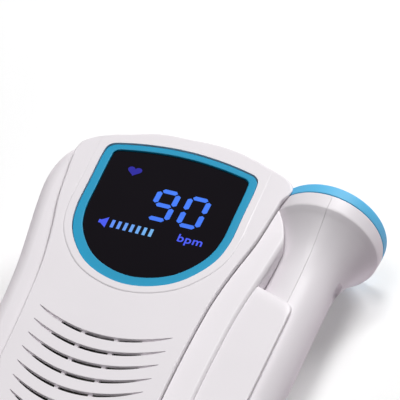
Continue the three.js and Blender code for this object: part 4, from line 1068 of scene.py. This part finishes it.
class DOPPLER_OT_probe_head(bpy.types.Operator):
    """Models the probe's blue ring and its acoustic face"""
    bl_idname = "doppler.probe_head"
    bl_label = "Probe ring and face"

    def execute(self, context):
        back, step, bore, face_radius = -RING_LENGTH + 0.12, 15.3, 12.3, 14.2
        corner = [(HEAD_RADIUS - amount, y) for y, amount in quarter(0, 1.3, 1.3, 8)]
        rim = turned([(bore, -4.7), (step, -4.7), (step, back), (HEAD_RADIUS - 0.12, back),
                      (HEAD_RADIUS, back + 0.12), *corner, (14.8, 0.0), (14.55, -0.12), (14.5, -0.4),
                      (14.5, -2.8), (bore, -2.8)], PROBE_STEPS)
        finish_piece("probe_rim", at_probe(rim), finish("light_blue_abs"), "probe", ["probe_ring"])
        crown = [(face_radius - amount, y) for y, amount in quarter(-0.25, 0.5, face_radius, 10)]
        face = turned([(0, -2.65), (face_radius, -2.65), *crown[:-1], (0, -0.25)], 96)
        finish_piece("acoustic_face", at_probe(face), finish("acoustic_resin"), "probe", ["probe_face"])
        return {"FINISHED"}


# ---------------------------------------------------------------- glands and socket

class DOPPLER_OT_sockets(bpy.types.Operator):
    """Models the earphone socket and the two cable glands"""
    bl_idname = "doppler.sockets"
    bl_label = "Socket and glands"

    def execute(self, context):
        bore = 1.8
        body = block((JACK_X, -60.2, JACK_Z), (6.4, 8.4, 5), 0.3)
        nose = rod([(bore, -70.2), (2.4, -70.2), (2.6, -70.0), (2.6, -64.2), (bore, -64.2)], JACK_X, JACK_Z,
                   48)
        hole = rod([(0, -74), (bore, -74), (bore, -61.2), (0, -61.2)], JACK_X, JACK_Z, 48)
        socket = joined([combined(body, cut(hole)), nose])
        finish_piece("earphone_socket", socket, finish("black_pbt"), "unit", ["earphone_jack"])
        unit = shifted(self.sleeve(3.1, 2.4, -75.5, -71, 3.9, -66.35), (GLAND_X, 0, SPLIT))
        finish_piece("unit_gland", unit, finish("soft_pvc"), "unit", ["unit_cable_gland"])
        probe = at_probe(self.sleeve(3.2, 2.5, -122, -115, 4.35, -113.15))
        finish_piece("probe_gland", probe, finish("soft_pvc"), "probe", ["probe_cable_gland"])
        return {"FINISHED"}

    def sleeve(self, radius, tip, outside, mouth, flange, seat):
        """A tapered rubber sleeve with turned grooves and a flange inside the shell."""
        bore, thick, run = 1.3, 1.4, mouth - outside
        outer = [(tip - 0.3, outside), (tip, outside + 0.3)]
        for share in (0.25, 0.5, 0.75):
            y, r = outside + run * share, tip + (radius - tip) * share
            outer += [(r, y - 0.45), (r - 0.35, y - 0.3), (r - 0.35, y + 0.1), (r + 0.03, y + 0.25)]
        outer += [(radius, mouth), (radius, seat), (flange, seat), (flange, seat + thick),
                  (bore, seat + thick)]
        return turned([(bore, outside), *outer], 48)


# ---------------------------------------------------------------- battery door, cells, springs

class DOPPLER_OT_battery_door(bpy.types.Operator):
    """Models the sliding battery door with its thumb ribs and arrow"""
    bl_idname = "doppler.battery_door"
    bl_label = "Battery door"

    def execute(self, context):
        middle, run = -39.4, 67.2
        # The panel and the flange that runs in the housing's grooves, ended by the housing's own round
        plate = block((0, middle, 0.75), (35, run, 0.9))
        flange = block((0, middle, 1.7), (38, run, 1.0))
        end = loft(levels_of(inset(BODY, 0.3), BACK_ROUND + [(SPLIT, 0)]))
        ribs = [block((0, -18 - 2.2 * k, 0.25), (17 - k * 1.2, 1.0, 0.7), 0.3) for k in range(6)]
        arrow = prism([(-3.4, -34.5), (0, -38.6), (3.4, -34.5)], -1, 0.62)
        door = combined(plate, add(flange), within(end), cut(*ribs, arrow))
        finish_piece("battery_door_panel", door, finish("white_abs"), "door", ["battery_door"])
        return {"FINISHED"}


class DOPPLER_OT_batteries(bpy.types.Operator):
    """Models the two AA cells and their coil springs"""
    bl_idname = "doppler.batteries"
    bl_label = "Cells and springs"

    def execute(self, context):
        steel, sleeve, band = (tinted(linear(c)) for c in ("#B9BCC2", "#2E3B47", "#B9773F"))
        # The right cell lies the other way round
        self.cell("left", -CELL_X, [(0.0, steel), (0.012, sleeve), (0.74, band), (0.972, steel)])
        self.cell("right", CELL_X, [(0.0, steel), (0.028, band), (0.26, sleeve), (0.988, steel)])
        return {"FINISHED"}

    def cell(self, side, x, stops):
        """A cell with rolled jacket edges and a nub at its positive end, and its spring."""
        low, high = CELL_LOW, CELL_HIGH
        profile = [(0, low + 0.15), (4.6, low + 0.15), (5.2, low), (6.8, low + 0.02), (7.25, low + 0.5),
                   (7.25, high - 1.5), (6.8, high - 1.05), (5.6, high - 1.0), (5.2, high - 1.2),
                   (2.9, high - 1.2), (2.7, high - 1.1), (2.7, high - 0.15), (2.4, high), (0, high)]
        if side == "right":
            profile = [(radius, low + high - y) for radius, y in reversed(profile)]
        jacket = self.jacket(f"Printed cell jacket, {side}", stops)
        finish_piece(f"cell_{side}", rod(profile, x, CELL_Z, 64), jacket, "unit", [f"battery_cell_{side}"])
        spring = shifted(self.spring(), (x, 0, CELL_Z))
        finish_piece(f"coil_spring_{side}", spring, finish("nickel_steel"), "unit",
                     [f"battery_spring_{side}"])

    def jacket(self, name, stops):
        """Colours along a cell, from the lower end to the upper."""
        # Printed plastic jacket over a steel can: dark sleeve, copper-coloured band, bright bare ends
        material, tree = new_material(name)
        place = add_node(tree, "ShaderNodeTexCoord").outputs["Object"]
        parts = add_node(tree, "ShaderNodeSeparateXYZ", None, {"Vector": place})
        along = add_node(tree, "ShaderNodeMapRange", {"From Min": CELL_LOW * MM, "From Max": CELL_HIGH * MM},
                         {"Value": parts.outputs["Y"]})
        tones = add_node(tree, "ShaderNodeValToRGB", None, {"Fac": along.outputs["Result"]})
        ramp = tones.color_ramp
        ramp.interpolation = "CONSTANT"
        while len(ramp.elements) < len(stops):
            ramp.elements.new(0.5)
        for element, (position, colour) in zip(ramp.elements, stops):
            element.position, element.color = position, colour
        fine = add_node(tree, "ShaderNodeTexNoise", {"Scale": 1 / (3 * MM)}, {"Vector": place})
        gloss = add_node(tree, "ShaderNodeMapRange", {"To Min": 0.22, "To Max": 0.34},
                         {"Value": fine.outputs["Fac"]})
        shader = add_node(tree, "ShaderNodeBsdfPrincipled", {"Metallic": 0.35},
                          {"Base Color": tones.outputs["Color"], "Roughness": gloss.outputs["Result"]})
        add_node(tree, "ShaderNodeOutputMaterial", None, {"Surface": shader.outputs["BSDF"]})
        return material

    def spring(self):
        """A conical coil of spring wire between the bay wall and the cell."""
        wire_radius, coil_radius, start, rise, coils, steps = 0.3, 3.1, -61.6, 1.8, 3, 72
        bm = bmesh.new()
        wire = bmesh.ops.create_circle(bm, segments=8, radius=wire_radius,
                                       matrix=Matrix.Translation((coil_radius, start, 0)))["verts"]
        edges = list({e for v in wire for e in v.link_edges})
        bmesh.ops.spin(bm, geom=wire + edges, cent=(0, 0, 0), axis=(0, 1, 0), dvec=(0, rise / steps, 0),
                       angle=2 * math.pi * coils, steps=steps, use_merge=False, use_duplicate=False)
        for vert in bm.verts:
            share = (vert.co.y + 61.9) / 2.4
            vert.co.x, vert.co.z = vert.co.x * (1 - 0.3 * share), vert.co.z * (1 - 0.3 * share)
        bmesh.ops.holes_fill(bm, edges=[e for e in bm.edges if e.is_boundary], sides=0)
        return outward(bm)


class DOPPLER_OT_screws(bpy.types.Operator):
    """Models the four housing screws with their cross recesses"""
    bl_idname = "doppler.screws"
    bl_label = "Housing screws"

    def execute(self, context):
        for kind, places, tip in (("upper", UPPER_SCREWS, 26), ("lower", LOWER_SCREWS, 22)):
            for index, (x, y) in enumerate(places, 1):
                head = spun(turned([(0, 1.25), (1.7, 1.2), (2.2, 1.45), (2.3, 1.8), (2.3, 2.55), (1.2, 2.55),
                                    (1.2, tip - 0.8), (0.5, tip), (0, tip)], 32), math.pi / 2, "X")
                screw = combined(head, cut(block((0, 0, 1.2), (2.6, 0.55, 1.5))),
                                 cut(block((0, 0, 1.2), (0.55, 2.6, 1.5))))
                # Each screw stopped at its own angle
                spun(screw, 0.5 + x, "Z")
                shifted(screw, (x, y, 0))
                finish_piece(f"{kind}_housing_screw_{index}", screw, finish("nickel_steel"), "unit",
                             [f"{kind}_screw_{index}"])
        return {"FINISHED"}


class DOPPLER_OT_inner_parts(bpy.types.Operator):
    """Gives the carried-over inner parts their finishes"""
    bl_idname = "doppler.inner_parts"
    bl_label = "Inner parts"

    nodes = {
        "solder_mask": ["main_board", "probe_board"],
        "black_epoxy": ["processor_chip", "audio_amplifier_chip", "volume_down_switch", "power_switch",
                        "volume_up_switch"],
        "black_polycarbonate": ["led_display_module"],
        "pulp_paper": ["speaker_cone"],
        "open_foam": ["speaker_gasket"],
        "nickel_steel": ["speaker_frame", "speaker_magnet", "battery_contact_plate", "board_screw_1",
                         "board_screw_2"],
        "piezo_ceramic": ["transmit_crystal", "receive_crystal"],
        "filled_epoxy": ["crystal_backing"],
    }

    def execute(self, context):
        for key, names in self.nodes.items():
            for name in names:
                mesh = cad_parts[name].data
                mesh.materials.clear()
                mesh.materials.append(finish(key))
        return {"FINISHED"}


# ---------------------------------------------------------------- panel and registration

OPERATORS = [
    DOPPLER_OT_stage, DOPPLER_OT_upper_housing, DOPPLER_OT_rear_housing, DOPPLER_OT_front_cover,
    DOPPLER_OT_display, DOPPLER_OT_lit_marks, DOPPLER_OT_buttons, DOPPLER_OT_probe_shells,
    DOPPLER_OT_probe_head, DOPPLER_OT_sockets, DOPPLER_OT_battery_door, DOPPLER_OT_batteries,
    DOPPLER_OT_screws, DOPPLER_OT_inner_parts,
]


class DOPPLER_PT_panel(bpy.types.Panel):
    """Lists the steps that build the doppler and its sizes and colours"""
    bl_idname = "DOPPLER_PT_panel"
    bl_label = "Fetal doppler"
    bl_space_type = "VIEW_3D"
    bl_region_type = "UI"
    bl_category = "Doppler"

    def draw(self, context):
        layout = self.layout
        for group in (sizes(), colours(), context.scene.doppler_stage):
            box = layout.box()
            for name in group.__annotations__:
                box.prop(group, name)
        for operator in OPERATORS:
            layout.operator(operator.bl_idname)


CLASSES = [DopplerSizes, DopplerColours, DopplerStage, *OPERATORS, DOPPLER_PT_panel]


def register():
    for cls in CLASSES:
        bpy.utils.register_class(cls)
    bpy.types.Scene.doppler_sizes = bpy.props.PointerProperty(type=DopplerSizes)
    bpy.types.Scene.doppler_colours = bpy.props.PointerProperty(type=DopplerColours)
    bpy.types.Scene.doppler_stage = bpy.props.PointerProperty(type=DopplerStage)


def unregister():
    del bpy.types.Scene.doppler_stage
    del bpy.types.Scene.doppler_colours
    del bpy.types.Scene.doppler_sizes
    for cls in reversed(CLASSES):
        bpy.utils.unregister_class(cls)


def main():
    register()
    for operator in OPERATORS:
        group, name = operator.bl_idname.split(".")
        getattr(getattr(bpy.ops, group), name)()


if __name__ == "__main__":
    main()
